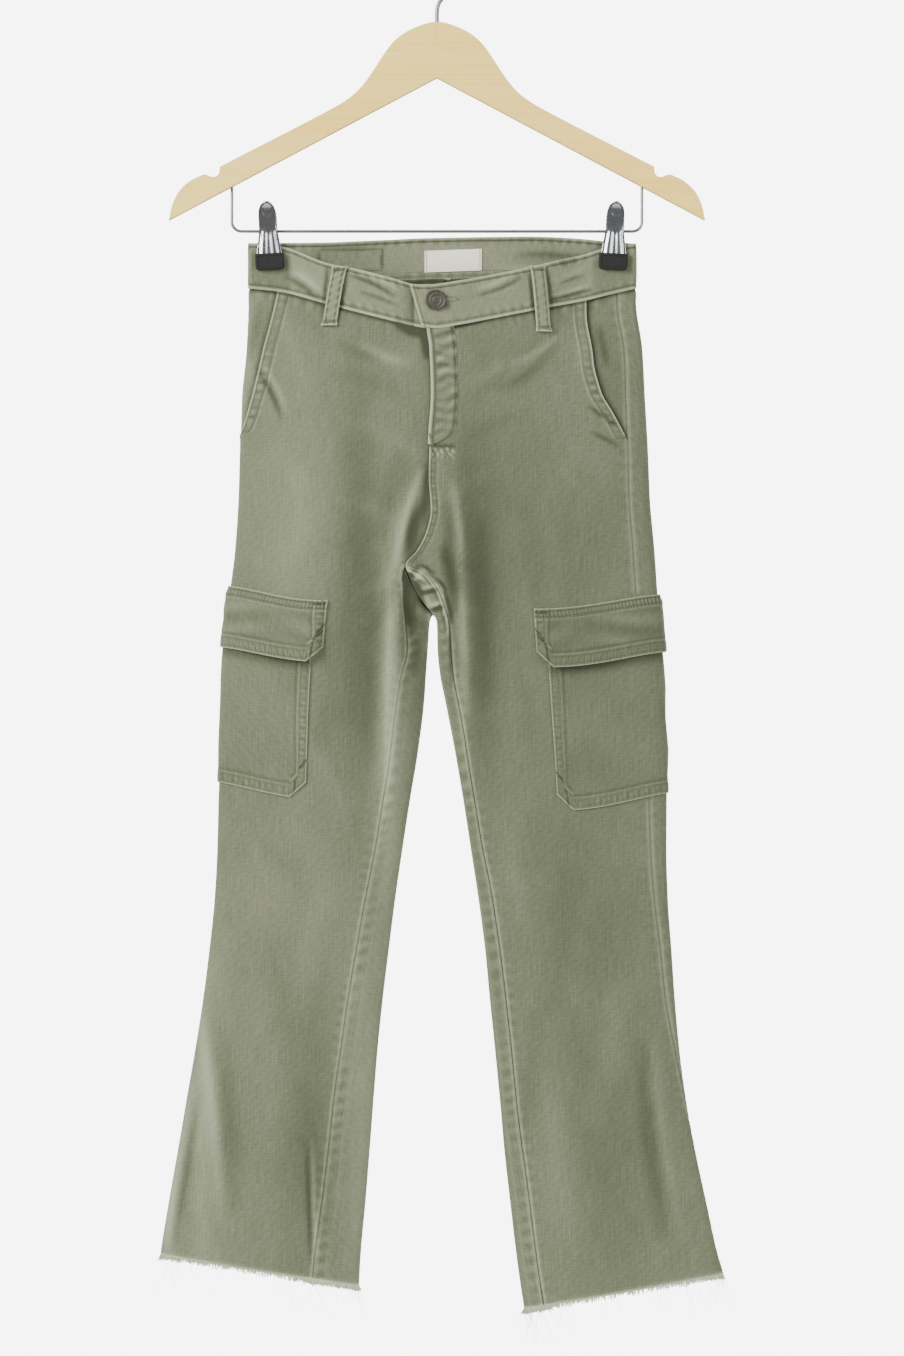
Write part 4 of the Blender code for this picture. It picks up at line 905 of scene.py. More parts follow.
def hem_band(grid, width, seed, pitch):
    """A turned-in and double-stitched edge band, with its rim worn pale and its corners mitred; painted highlights
    and shade on its puckers, painted shade in its needle lines and mitres, and a painted shade line just inside it.
    """
    edge, to_side, to_foot = grid.edge, grid.to_side, grid.to_foot
    beside = to_side < to_foot
    along = np.where(beside, grid.down, grid.across)
    pitch = np.where(beside, max(pitch, 4.6), pitch)
    waves = 0.6 * ripple(along, seed, pitch) + 0.4 * ripple(along + 0.5 * edge, seed + 2, 1.7 * pitch)
    inside = 1 - smooth(edge, width - 0.5, width + 1.2)
    grid.lift += 0.5 * inside
    grid.mark(edge, ((width / 2, width / 2.4, 0.26, 0),), inside * waves)
    grid.mark(edge, ((width / 2, width / 2, 0, 0.3),), waves)
    for line in (1.9, width - 1):
        grid.mark(edge, ((line, 0.8, -0.34, 0),))
        grid.mark(edge, ((line, 0.8, 0, -0.42),), 0.7 + 0.3 * waves)
    grid.mark(edge, ((0, 0.7, -0.5, 0), (0, 1, 0, 1), (width + 0.5, 1, 0, 0.32), (width + 2.6, 1.2, 0, -0.3)))
    for down, across, slant in ((to_foot, to_side, 0.15), (to_side, to_foot, 0.3)):
        mitre = ((CHAMFER + 0.5, 0.9, -0.5, -0.95),)
        grid.mark(down + slant * across, mitre, 1 - smooth(across, width - 2, width))


def cargo_flap_grid(side):
    rows = LEVELS[side]
    grid = patch_grid(side, FLAP_HALF, rows["flap_top"], rows["flap_foot"], 12.5, (220, 46))
    top, foot = grid.down, grid.down[-1:]
    round_leg = bump(grid.across - grid.across[:, -1:] / 2, 0, 26)
    stand = FLAP_STAND * top / foot * (1 - 0.8 * round_leg)
    over_body = smooth(grid.to_side, 0, 9) * smooth(top, 0, 8)
    grid.lift += GAP + FLAP_PLIES + over_body * (TWILL + GAP + 0.5 - 0.5 * round_leg + stand)
    hem_band(grid, 9.8, 6.4, 2.7)
    waves, folded = ripple(grid.across, 7.7, 3.1), 1 - smooth(top, 7.4, 9)
    grid.lift += 0.35 * folded
    grid.mark(top, ((4.4, 3, 0.24, 0),), waves * folded)
    # painted highlights and shade on the fold's puckers, painted shade in its needle lines and bartacks; the folded
    # top edge is worn pale
    grid.mark(top, ((4.4, 3, 0, 0.5),), waves)
    grid.mark(top, ((1.8, 0.8, -0.34, -0.6), (7.4, 0.8, -0.34, -0.6), (0, 1.1, 0, 1.1), (8.8, 1, 0, 0.3)))
    at_side = smooth(grid.to_side, 0.5, 2) * (1 - smooth(grid.to_side, 10, 12))
    for bar in (3.5, foot - CHAMFER - 1.5):
        grid.mark(top, ((bar, 0.9, -0.5, -1.3),), at_side)
    lengthwise = np.sin(top / 3.1 + 1.8 * np.sin(grid.across / 19)) * np.sin(grid.across / 27 + 0.6)
    lengthwise = lengthwise * smooth(grid.edge, 10, 14) * smooth(top, 9, 13)
    grid.lift += 0.32 * lengthwise
    # painted highlights and shade on the wrinkles, and a little darker overall
    grid.tone += 0.16 * lengthwise - 0.09
    return grid


def fly_grid():
    """The stitched fly front: its inner edge is free, and its J-shaped outer edge melts into the panel."""
    levels = levels_between(BAND_SEAM, FLY_FOOT, 1.3)
    outer, inner, _ = edges("left", "front", levels)
    round_foot = np.sqrt(1 - np.clip((levels - (FLY_FOOT - 20)) / 20.5, 0, 1) ** 2)
    start = turn_at(1 - FLY_WIDTH * round_foot / np.abs(inner - outer))
    grid = rows_on("left", between(start, np.full(len(levels), np.pi), np.linspace(0, 1, 20)), levels)
    across, from_end, down = grid.across, grid.across_left, grid.down
    grid.places[..., 0] -= FLY_LAP * (across / np.maximum(across[:, -1:], 0.5)) ** 3
    grid.lift += 0.35 + (GAP + TWILL - 0.35) * smooth(across, 0, 5)
    waves = 0.7 * ripple(down + 1.6 * np.sin(across / 5.5 + down / 17), 8.8, 11.5)
    waves = waves + 0.5 * np.sin(down / 1.45 + 1.2 * np.sin(across / 3.2 + down / 8))
    waves = waves * (0.7 + 0.3 * np.sin(across / 3.1 + down / 9))
    waves = waves * smooth(from_end, 2.5, 7) * round_foot[:, None]
    grid.lift += 0.5 * waves * smooth(across, 1, 5)
    # painted highlights and shade on the puckers, with the wash's fades and broad painted shade
    grid.tone += fade_and_painted_shade(grid.places, "front") + 0.5 * waves + 0.05
    grid.mark(across, ((2.2, 1, -0.45, 0), (4.6, 1.2, 0, 0.2)))
    grid.mark(across, ((1.8, 1.1, 0, -1),), 0.4 + 0.35 * ripple(down, 2.2, 14))
    grid.mark(from_end, ((2.9, 0.8, -0.45, 0), (0, 0.7, -0.35, 0), (0.6, 1.25, 0, 1.25), (3.2, 0.9, 0, -0.5)))
    grid.wall = np.minimum(grid.lift - 0.02, TWILL)
    return grid


# ---- Waistband and its trim


def waist_surface(face, x, drop):
    """Points of the hips below the band, by their place in the front view."""
    found = []
    for side in SIDES:
        level = drop
        for _ in range(5):
            outer, inner, _ = edges(side, face, level)
            share = np.clip((x - outer) / (inner - outer), 0, 1)
            level = drop - (row_drop(side, face, x, share, level) - level)
        found.append(on_face(side, face, share, level))
    return np.where((x < read(CENTRE, face, MID_BAND))[..., None], *found)


def band_surface(face, x, drop):
    """Points of the band's own form, and of the hips below its seam."""
    x, drop = np.broadcast_arrays(np.asarray(x, float), np.asarray(drop, float))
    top, seam = read(WAIST, face + "_top", x), read(WAIST, face + "_seam", x)
    level = BAND_TOP + (BAND_SEAM - BAND_TOP) * np.clip((drop - top) / (seam - top), 0, 1)
    depths = []
    for side in SIDES:
        outer, inner, _ = edges(side, face, level)
        depths.append(half_depth(face, (x - outer) / (inner - outer), level, 0))
    depth = np.where(x < read(CENTRE, face, MID_BAND), *depths)
    band = np.stack((x, -depth if face == "front" else depth, -drop), -1)
    return np.where((drop > seam)[..., None], waist_surface(face, x, drop), band)


def outward_of(places, towards):
    """Outward directions of a grid of places; towards is a rough outward direction."""
    normal = unit(np.cross(np.gradient(places, axis=0), np.gradient(places, axis=1)))
    return normal * np.where((normal * towards).sum(-1) < 0, -1, 1)[..., None]


def band_patch(face, x, drop):
    """A grid that lies on the front or the back of the band."""
    places = band_surface(face, x, drop)
    return Grid(places, outward_of(places, (0, -1 if face == "front" else 1, 0)))


def band_grid():
    """The band in one strip, from its button end round the back to its underlap end."""
    quarter = 1 - np.cos(np.linspace(0, np.pi / 2, 150))
    beyond = np.linspace(0, 1, 9)[1:]
    down = np.linspace(0, 1, 25)[:, None]
    blocks, laps = [], []
    for face, side, shares in (
        ("front", "left", quarter[::-1]),
        ("back", "left", quarter[1:]),
        ("back", "right", quarter[::-1][1:]),
        ("front", "right", quarter[1:]),
    ):
        outer, inner, _ = edges(side, face, np.array(float(BAND_SEAM)))
        x = outer + (inner - outer) * shares
        slant, lap = 0, 0 * x
        if (face, side) == ("front", "left"):
            x = np.concatenate(((x[0] + (BUTTON_END - x[0]) * beyond)[::-1], x))
            slant, lap = END_SLANT * smooth(np.arange(len(x)), 26, 0), 1 - smooth(x, 14, 48)
        elif (face, side) == ("front", "right"):
            x = np.concatenate((x, x[-1] + (UNDERLAP_END - x[-1]) * beyond))
            lap = 0 * x
        top, seam = read(WAIST, face + "_top", x), read(WAIST, face + "_seam", x)
        block = band_surface(face, x + slant * (down - 0.35), top + (seam - 0.01 - top) * down)
        block[..., 2] -= BAND_OVER * down
        blocks.append(block)
        laps.append(lap + 0 * down)
    places, lap = np.concatenate(blocks, axis=1), np.concatenate(laps, axis=1)
    x, front = places[..., 0], places[..., 1] < 0
    towards = np.stack((x / 6, np.sign(places[..., 1]) * 20, 0 * x), -1)
    grid = Grid(places, outward_of(places, towards))
    top, foot, end = grid.down, grid.down_left, np.minimum(grid.across, grid.across_left)
    grid.lift += BAND_LIFT + OVERLAP_OUT * lap
    loose = 1 - sum(smooth(-np.abs(x - CLIP_X[side]), -19, -14) for side in SIDES)
    waves, other = ripple(grid.across, 9.1), ripple(grid.across, 3.3, 10)
    grid.mark(top, ((3.4, 3.2, 0.3, 0),), loose * waves)
    grid.mark(foot, ((3.6, 3.4, 0.34, 0),), loose * other)
    for x_from, down_from, x_to, down_to, rise, reach in zip(*BAND_CREASES.values()):
        along = np.clip((x - x_from) / (x_to - x_from), 0, 1)
        line = (down_from + (down_to - down_from) * along) * (BAND_SEAM - BAND_TOP - 1)
        wave = rise * bump(top, line, reach) * np.sin(np.pi * along) ** 0.7 * front
        grid.lift += loose * wave
        # painted shade and highlights on the crease
        grid.tone += 0.2 * wave
    bellows = np.sin(grid.across / 23 + 2 * np.sin(grid.across / 57)) * np.sin(np.pi * down)
    grid.lift += 0.35 * bellows * loose
    for border in (top, foot):
        grid.mark(border, ((2, 0.6, -0.22, 0), (3.4, 0.6, -0.22, 0)))
    rounding = 0.75 * bump(top, 0, 0.9) + 0.5 * bump(foot, 0, 0.9) + 0.6 * bump(end, 0, 0.9)
    grid.lift -= rounding
    grid.wall = BAND_PLIES - 2 * np.minimum(rounding, 1)
    grid.tone += 0.26
    # the edges worn pale, with painted shade in the needle lines and painted highlights and shade on the puckers
    grid.mark(top, ((0, 1.3, 0, 0.9), (2.9, 0.8, 0, -0.8)))
    grid.mark(top, ((3.2, 3, 0, 0.26),), waves)
    grid.mark(foot, ((0.9, 1.2, 0, 0.95),))
    grid.mark(foot, ((4.4, 3.2, 0, 0.26),), other)
    grid.mark(foot, ((3.6, 0.9, 0, -0.95),), 0.7 + 0.3 * other)
    grid.mark(end, ((0, 1.3, 0, 1.3), (2.6, 0.9, 0, -0.5)))
    # painted shadow beside the button end, where its overlap stands off, and painted shade near the clips
    painted_shadow_beside_end = front * (x < BUTTON_END) * np.exp((x - BUTTON_END) / 4) * (1 - lap)
    right_half = np.arange(x.shape[1])[None] > x.shape[1] / 2
    grid.tone -= 0.95 * painted_shadow_beside_end * right_half + 0.25 * (1 - loose) * smooth(top, 4, 12)
    grid.tone += np.where(front, *(strokes(PAINTED_SHADE_AND_WEAR[face], x, -places[..., 2]) for face in ("front", "back")))
    grid.tone += 0.1 * (places[..., 1] > 0) * np.sin(x / 31 + 1)
    return grid


def loop_grid(face, x_top, x_foot):
    """A belt loop, folded under at both ends and standing off the band between its bartacks."""
    top, seam = read(WAIST, face + "_top", x_top), read(WAIST, face + "_seam", x_foot)
    length = LOOP["down"][-1]
    down, across = np.linspace(0, length, 46)[:, None], np.linspace(-1, 1, 13)[None]
    at_fold = bump(down, 0, 0.07) + bump(down, length, 0.07)
    x = x_top + (x_foot - x_top) * down / length + across * LOOP_HALF * (1 + 0.2 * at_fold)
    grid = band_patch(face, x, top + LOOP_INSET + (seam - top) * down)
    edge = LOOP_HALF * (1 - np.abs(across))
    waves = ripple(grid.down + 3 * across, 1.9 + x_top / 50, 6.5)
    grid.lift += BAND_LIFT + GAP + LOOP_PLIES + read(LOOP, "stand", down) + 0.5 * at_fold + 0.35 * (1 - across**2)
    grid.tone += 0.3 + 0.5 * at_fold
    # painted highlights and shade on the edges' puckers, painted shade in the needle lines and bartacks, and pale
    # worn edges
    grid.mark(edge, ((1.5, 2, 0.25, 0), (2, 2, 0, 0.34)), waves)
    grid.mark(edge, ((0, 0.7, -0.6, 0), (1.9, 0.6, -0.3, 0), (0, 0.9, 0, 1), (2.1, 0.8, 0, -0.55)))
    for from_end in (grid.down, grid.down_left):
        grid.mark(from_end, ((3.4, 0.9, -0.5, -0.8), (0, 0.9, 0, 0.9)))
    return grid


def label_grid():
    """The label inside the back band, whose middle stands a little off the cloth."""
    across, down = np.linspace(24, -24, 33)[None], np.linspace(0, 18, 13)[:, None]
    grid = band_patch("back", LABEL_X + across + 0 * down, LABEL_TOP + down - 0.035 * across)
    from_end = np.minimum(grid.across, grid.across_left)
    bow = 0.45 * np.sin(np.pi * grid.down / grid.down[-1:]) * smooth(from_end, 0, 9)
    grid.lift += BAND_LIFT - BAND_PLIES - LABEL_PLY - bow
    grid.mark(from_end, ((0, 1.5, 0, 0.3),))
    return grid


# ---- Thread


class Thread:
    """Stitches, gathered along lines and made into one mesh."""

    # along a stitch: place, thickness and height, so that it arches out of the cloth
    profile = ((-0.5, 0.45, -0.7), (0.0, 1.0, 0.35), (0.5, 0.45, -0.7))

    def __init__(self, sizes):
        self.pitch, self.length, self.radius = sizes.stitch_pitch, sizes.stitch_pitch * 0.8, sizes.thread / 2
        self.stitches = ([], [], [])

    def add(self, middles, alongs, ups):
        for part, values in zip(self.stitches, (middles, alongs, ups)):
            part.append(values)

    def run(self, places, outward, above=0.12, pitch=None, length=None):
        pitch, length = pitch or self.pitch, length or self.length
        run = np.concatenate(([0], np.cumsum(np.linalg.norm(np.diff(places, axis=0), axis=1))))
        count = int(run[-1] / pitch)
        if count < 1:
            return
        middle = (np.arange(count) + 0.5) * run[-1] / count

        def at(where, values):
            return np.stack([np.interp(where, run, values[:, axis]) for axis in range(3)], -1)

        along = unit(at(middle + length / 2, places) - at(middle - length / 2, places))
        up = at(middle, outward)
        self.add(at(middle, places) + up * above, along * length, up)

    def tack(self, place, outward, along, length, width, pitch=0.75):
        """A bartack: close stitches across a short bar."""
        along = unit(np.asarray(along, float))
        count = max(int(length / pitch), 3)
        steps = (np.arange(count) / (count - 1) - 0.5)[:, None] * length
        slant = np.cross(outward, along) + 0.25 * along * (-1) ** np.arange(count)[:, None]
        self.add(place + steps * along + outward * 0.25, slant * width, np.tile(outward, (count, 1)))

    def build(self, name, material):
        middle, along, up = (np.concatenate(values) for values in self.stitches)
        side = unit(np.cross(along, up))
        up = unit(np.cross(side, along))
        rings = [
            middle + along * place + ((b * wide + high) * up + a * wide * side) * self.radius
            for place, wide, high in self.profile
            for a, b in ((1, 0), (0, 1), (-1, 0), (0, -1))
        ]
        faces = tube_faces(4, len(self.profile)) + [(3, 2, 1, 0), (8, 9, 10, 11)]
        return facing_out(mesh_object(name, *repeated(np.stack(rings, 1), faces), material))


def tube_faces(around, rings):
    """The quads of a tube, whose points run round one ring after another."""
    return [
        (r * around + i, r * around + j, (r + 1) * around + j, (r + 1) * around + i)
        for r in range(rings - 1)
        for i, j in ((i, (i + 1) % around) for i in range(around))
    ]


def repeated(points, faces):
    """Points and faces of many like pieces, from a row of points for each and the faces of one."""
    count, each = points.shape[:2]
    faces = np.array(faces)[None] + each * np.arange(count)[:, None, None]
    return points.reshape(-1, 3), faces.reshape(-1, 4)


def facing_out(obj):
    """Turns the faces of every loose part outwards."""
    work = bmesh.new()
    work.from_mesh(obj.data)
    bmesh.ops.recalc_face_normals(work, faces=work.faces)
    work.to_mesh(obj.data)
    work.free()
    obj.data.shade_smooth()
    return obj


# ---- Materials


def hex_colour(text):
    """An sRGB hex colour as the linear colour that shaders take."""
    values = [int(text[i : i + 2], 16) / 255 for i in (1, 3, 5)]
    linear = [v / 12.92 if v <= 0.04045 else ((v + 0.055) / 1.055) ** 2.4 for v in values]
    return (*linear, 1.0)


def node(tree, kind, links=(), **settings):
    """Adds a node; links are (input, source socket) pairs, settings its properties or input values."""
    made = tree.nodes.new(kind)
    for name, value in settings.items():
        if hasattr(made, name):
            setattr(made, name, value)
        else:
            made.inputs[name.replace("_", " ")].default_value = value
    for target, source in links:
        tree.links.new(source, made.inputs[target])
    return made


def weigh(tree, terms, start=0.0):
    """The sum of sockets, each less its middle value and times its weight."""
    total = None
    for socket, middle, weight in terms:
        part = node(tree, "ShaderNodeMath", [(0, socket)], operation="MULTIPLY_ADD")
        part.inputs[1].default_value = weight
        part.inputs[2].default_value = start - middle * weight if total is None else -middle * weight
        if total is None:
            total = part.outputs[0]
        else:
            total = node(tree, "ShaderNodeMath", [(0, total), (1, part.outputs[0])], operation="ADD").outputs[0]
    return total


def tones(tree, value, colours):
    """A smooth scale of colours, spread evenly from -1 to 1."""
    place = node(tree, "ShaderNodeMapRange", [(0, value)], From_Min=-1.0)
    ramp = node(tree, "ShaderNodeValToRGB", [(0, place.outputs[0])])
    ramp.color_ramp.interpolation = "B_SPLINE"
    elements = ramp.color_ramp.elements
    while len(elements) < len(colours):
        elements.new(0.5)
    for element, at, colour in zip(elements, np.linspace(0, 1, len(colours)), colours):
        element.position = at
        element.color = hex_colour(colour) if isinstance(colour, str) else colour
    return ramp.outputs[0]


def patterned(name, spots, colours, tone=None, ribs=None, relief=None, gloss=None, **shader):
    """A material that varies over its colours with spots, and on cloth with the sheet's own tone as well.

    Each row of spots holds millimetres across, along and through, detail, weight in the colour and, where it
    shows as relief, weight in the height. Cloth has a weight for its tone, and its spots follow the weave.
    Ribs are slanted waves: their scale, and the two weights. Relief is a bump's strength and its distance in
    millimetres, gloss the roughness and how far the first spots change it.
    """
    material = bpy.data.materials.get(name)
    if material:
        return material
    material = bpy.data.materials.new(name)
    material.use_nodes = True
    tree = material.node_tree
    surface_shader = tree.nodes["Principled BSDF"]
    for socket, value in shader.items():
        surface_shader.inputs[socket.replace("_", " ")].default_value = value
    terms, heights = [], []
    if tone is None:
        place = node(tree, "ShaderNodeTexCoord").outputs["Object"]
    else:
        place = node(tree, "ShaderNodeUVMap", uv_map="Cloth").outputs[0]
        terms.append((node(tree, "ShaderNodeAttribute", attribute_name="tone").outputs["Fac"], 0.0, tone))
    for across, along, through, detail, weight, height in spots:
        scaled = node(tree, "ShaderNodeMapping", [(0, place)], Scale=(1000 / across, 1000 / along, 1000 / through))
        spot = node(tree, "ShaderNodeTexNoise", [(0, scaled.outputs[0])], Scale=1.0, Detail=detail, Roughness=0.55)
        terms.append((spot.outputs[0], 0.5, weight))
        heights.append((spot.outputs[0], 0.5, height))
    if ribs:
        scale, weight, height = ribs
        wave = node(tree, "ShaderNodeTexWave", [(0, place)], bands_direction="DIAGONAL", Scale=scale)
        wave.inputs["Distortion"].default_value = 1.2
        wave.inputs["Detail"].default_value = 1.0
        terms.append((wave.outputs[1], 0.5, weight))
        heights.append((wave.outputs[1], 0.5, height))
    tree.links.new(tones(tree, weigh(tree, terms), colours), surface_shader.inputs["Base Color"])
    if relief:
        height = weigh(tree, [term for term in heights if term[2]])
        strength, distance = relief
        bumped = node(tree, "ShaderNodeBump", [("Height", height)], Strength=strength, Distance=distance * MM)
        tree.links.new(bumped.outputs[0], surface_shader.inputs["Normal"])
    if gloss:
        roughness, change = gloss
        varied = weigh(tree, [(heights[0][0], 0.5, change)], roughness)
        tree.links.new(varied, surface_shader.inputs["Roughness"])
    return material


def washed_twill(colours):
    """Garment-washed olive stretch twill: matt, with slubs both ways, paler where seams rub; the sheets' tone adds
    painted shade and painted highlights.
    """
    return patterned(
        "Garment-washed olive slub twill",
        (
            # slubs: thicker yarn along the warp, shorter ones along the weft, and specks where they cross
            (0.9, 24, 1, 2, 0.54, 0.4),
            (11, 0.9, 1, 2, 0.42, 0.4),
            (1.2, 1.2, 1, 2, 0.32, 0.25),
            # clouds of the wash
            (42, 70, 1, 3, 0.28, 0),
        ),
        (colours["dark"], colours["cloth"], colours["worn"]),
        tone=1.0,
        # the twill's ribs are 0.6 mm apart, too fine to show, so faint waves 5.65 mm apart stand for them
        ribs=(1100 / 14, 0.05, 0.06),
        relief=(0.4, 0.4),
        Roughness=0.93,
        Specular_IOR_Level=0.22,
        Sheen_Weight=0.34,
        Sheen_Roughness=0.55,
        Sheen_Tint=hex_colour("#C9CDB4"),
    )


def sewing_thread(colours):
    """Tone-in-tone polyester topstitch thread, rubbed a little paler than the cloth."""
    shades = (colours["cloth"], colours["thread"])
    return patterned("Olive topstitch thread", ((5, 5, 5, 1, 2.2, 0),), shades, Roughness=0.8, Sheen_Weight=0.2)


def frayed_yarn(colours):
    """Loose yarn ends of the raw hems: undyed cores that show pale."""
    spots = ((2.5, 2.5, 6, 1, 2.6, 0),)
    shades = (colours["worn"], colours["fray"])
    return patterned("Frayed cotton yarn ends", spots, shades, Roughness=0.95, Sheen_Weight=0.3)


def woven_ribbon():
    """Cream satin label ribbon: a slight gloss and a fine weave, drawn three times as wide as it is."""
    return patterned(
        "Cream woven satin ribbon",
        ((14, 0.9, 1, 1, 1.1, 1),),
        ("#D8D3B4", "#F0ECD2", "#FBF9E9"),
        tone=-1.0,
        relief=(0.3, 0.2),
        Roughness=0.6,
        Sheen_Weight=0.1,
    )


def gunmetal():
    """Dull dark-plated brass of the button, mottled by its tumbling."""
    return patterned(
        "Gunmetal-plated brass",
        ((2.2, 2.2, 2.2, 3, 1.8, 0),),
        ("#37362E", "#4E4D42", "#6A685E"),
        gloss=(0.6, 0.3),
        Metallic=0.55,
        Specular_IOR_Level=0.35,
    )


def pale_beech():
    """Clear-lacquered beech: pale, with fine long grain and small darker flecks along it."""
    return patterned(
        "Clear-lacquered beech",
        (
            # grain, flecks, and the boards' broad change of tone
            (130, 6, 2, 3, 1.8, 1),
            (7, 4, 0.8, 2, 0.6, 0),
            (240, 60, 22, 1, 0.9, 0),
        ),
        ("#F5BE50", "#FFDA6A", "#FFEB9A"),
        relief=(0.12, 0.3),
        Roughness=0.46,
        Coat_Weight=0.35,
        Coat_Roughness=0.2,
        Specular_IOR_Level=0.4,
    )


def bright_metal(name, pale, dark, roughness, mottle):
    """Plated or drawn steel; the two tones and the roughness tell chrome from plain wire."""
    spots = ((mottle, mottle, 2 * mottle, 3, 2, 0),)
    return patterned(name, spots, (dark, pale), gloss=(roughness, 0.12), Metallic=1.0)


def black_rubber():
    """Moulded matt black rubber, faintly mottled."""
    return patterned(
        "Moulded black rubber",
        ((3, 3, 3, 3, 2, 1),),
        ("#131312", "#222220"),
        relief=(0.2, 0.3),
        Roughness=0.72,
        Specular_IOR_Level=0.35,
    )


def studio_paper():
    """Seamless pale studio paper on the floor."""
    return patterned("Pale studio paper", ((40, 40, 40, 3, 1, 0),), ("#F6F6F5", "#FFFFFF"), Roughness=0.95)


# ---- What the sidebar sets


def length(name, description, default):
    return FloatProperty(name=name, description=description, default=default, min=0.05, unit="NONE")


def colour(name, description, text):
    return FloatVectorProperty(
        name=name, description=description, default=hex_colour(text), size=4, subtype="COLOR", min=0, max=1
    )


def power(name, description, default):
    return FloatProperty(name=name, description=description, default=default, unit="POWER")


class JeansSizes(bpy.types.PropertyGroup):
    """Sizes of the fine things, in millimetres."""

    mesh_step: length("Mesh step", "Distance between the rows of a panel, mm", 2.4)
    stitch_pitch: length("Stitch pitch", "Distance from one topstitch to the next, mm", 3.2)
    thread: length("Thread", "Thickness of the topstitch thread, mm", 0.62)
    fray: length("Fray", "Usual length of the hems' frayed ends, mm", 4.4)
    loose_end: length("Loose end", "Length of the longest hanging yarn, mm", 34.0)


class JeansColours(bpy.types.PropertyGroup):
    """Colours of the cloth and its threads."""

    cloth: colour("Cloth", "The washed twill", "#50563E")
    # the dark and worn ends of the twill's scale also paint shade in folds and under edges, and highlights on
    # ridges
    dark: colour("Dark", "The twill where dye stayed, in seams and folds", "#313224")
    worn: colour("Worn", "The twill where its edges were rubbed", "#A3A88C")
    thread: colour("Thread", "Topstitch thread", "#7A7F67")
    fray: colour("Fray", "Bare yarn ends", "#D8DAC0")


class StudioLight(bpy.types.PropertyGroup):
    """Power of the lamps."""

    key: power("Key", "Softbox at the upper left, W", 160.0)
    fill: power("Fill", "Softbox at the right, W", 42.0)
    rear: power("Rear", "Softboxes behind the jeans, at both sides, W", 45.0)
    sky: FloatProperty(name="Room", description="Strength of the pale room", default=0.85)


# ---- Setting pieces in the frame

GRIDS = {}


def colours_of(context):
    values = context.scene.jeans_colours
    return {name: tuple(getattr(values, name)) for name in ("cloth", "dark", "worn", "thread", "fray")}


def set_in(obj, replaced=()):
    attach(obj, "root")
    if replaced:
        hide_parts(*replaced)


def sew(name, grids, material, wall, replaced):
    """Sets a sheet in for its solid, and works out its flat cut, which its grids measure along the cloth, without
    keeping it.
    """
    obj = shell(name, grids, material, wall)
    set_in(obj, [replaced])
    widths, heights, areas = zip(*(grid.cut() for grid in grids))
    width, height = round(sum(widths), 4), round(max(heights), 4)
    round(min(sum(areas), width * height), 7)


def line_down(grid, distance, top=-np.inf, foot=np.inf, from_end=False):
    """A line down the cloth at a distance from its start or end column, between two levels."""
    inside = (grid.levels[:, 0] >= top) & (grid.levels[:, 0] <= foot)
    return grid.at(np.nonzero(inside)[0], grid.column_at(distance, from_end)[inside])


def line_across(grid, distance, from_end=False, margin=0):
    inside = np.minimum(grid.across[0], grid.across_left[0]) >= margin
    return grid.at(grid.row_at(distance, from_end)[inside], np.nonzero(inside)[0])


def inset_lines(grid, distance):
    """The sides and the bottom of a patch, at a distance inside its edge."""
    rows = np.arange(len(grid.places))
    for from_end in (False, True):
        columns = grid.column_at(distance, from_end)
        keep = grid.down_left[rows, columns.round().astype(int)] >= distance
        yield grid.at(rows[keep], columns[keep])
    yield line_across(grid, distance * 1.2, True, distance)


class Build:
    """Shared steps of the operators."""

    bl_options = {"REGISTER", "UNDO"}

    def execute(self, context):
        self.make(context, context.scene.jeans_sizes, colours_of(context))
        return {"FINISHED"}


class JEANS_OT_panels(Build, bpy.types.Operator):
    """Front and back panels with their seams, and the hip pieces behind the slant pockets"""

    bl_idname = "jeans.panels"
    bl_label = "Panels"

    def make(self, context, sizes, colours):
        twill, stitches = washed_twill(colours), Thread(sizes)
        for side in SIDES:
            front, (back, fork), facing = front_grid(side, sizes), back_grids(side, sizes), facing_grid(side)
            GRIDS[side] = (front, back, fork)
            for line in (2, 8.6):
                stitches.run(*line_down(front, line, foot=POCKET_FOOT - 4))
            if side == "left":
                for line in (1.5, 6):
                    stitches.run(*line_down(front, line, FLY_FOOT + 2, CROTCH - 2, True))
                    stitches.run(*line_down(back, line, foot=FORK - 8, from_end=True))
            row = np.abs(front.levels[:, 0] - POCKET_FOOT + 5).argmin()
            place, outward = front.at(row, front.column_at(5)[row])
            inner, _ = front.at(row, front.column_at(9)[row])
            stitches.tack(place, outward, inner - place, 8, 2.2)
            for name, grids in (("front", [front]), ("back", [back, fork]), ("facing", [facing])):
                replaced = f"pocket_facing_{side}" if name == "facing" else f"{name}_{side}"
                sew(f"cloth_{name}_{side}", grids, twill, TWILL, replaced)
        set_in(stitches.build("stitches_panels", sewing_thread(colours)))


class JEANS_OT_cargo_pockets(Build, bpy.types.Operator):
    """Cargo pockets across the side seams, and their flaps"""

    bl_idname = "jeans.cargo_pockets"
    bl_label = "Cargo pockets"

    def make(self, context, sizes, colours):
        twill, stitches = washed_twill(colours), Thread(sizes)
        for side in SIDES:
            body, flap = cargo_body_grid(side), cargo_flap_grid(side)
            for distance in (1.6, 8.4):
                for line in (*inset_lines(body, distance), *inset_lines(flap, distance)):
                    stitches.run(*line)
            for distance in (1.5, 7.6):
                stitches.run(*line_across(flap, distance, margin=1))
            for column in (5, flap.places.shape[1] - 6):
                stitches.tack(*flap.at(4, column), (0, 0, 1), 7, 2.2)
            for name, grid, wall in (("pocket", body, TWILL), ("flap", flap, FLAP_PLIES)):
                sew(f"cloth_cargo_{name}_{side}", [grid], twill, wall, f"cargo_{name}_{side}")
        set_in(stitches.build("stitches_cargo_pockets", sewing_thread(colours)))


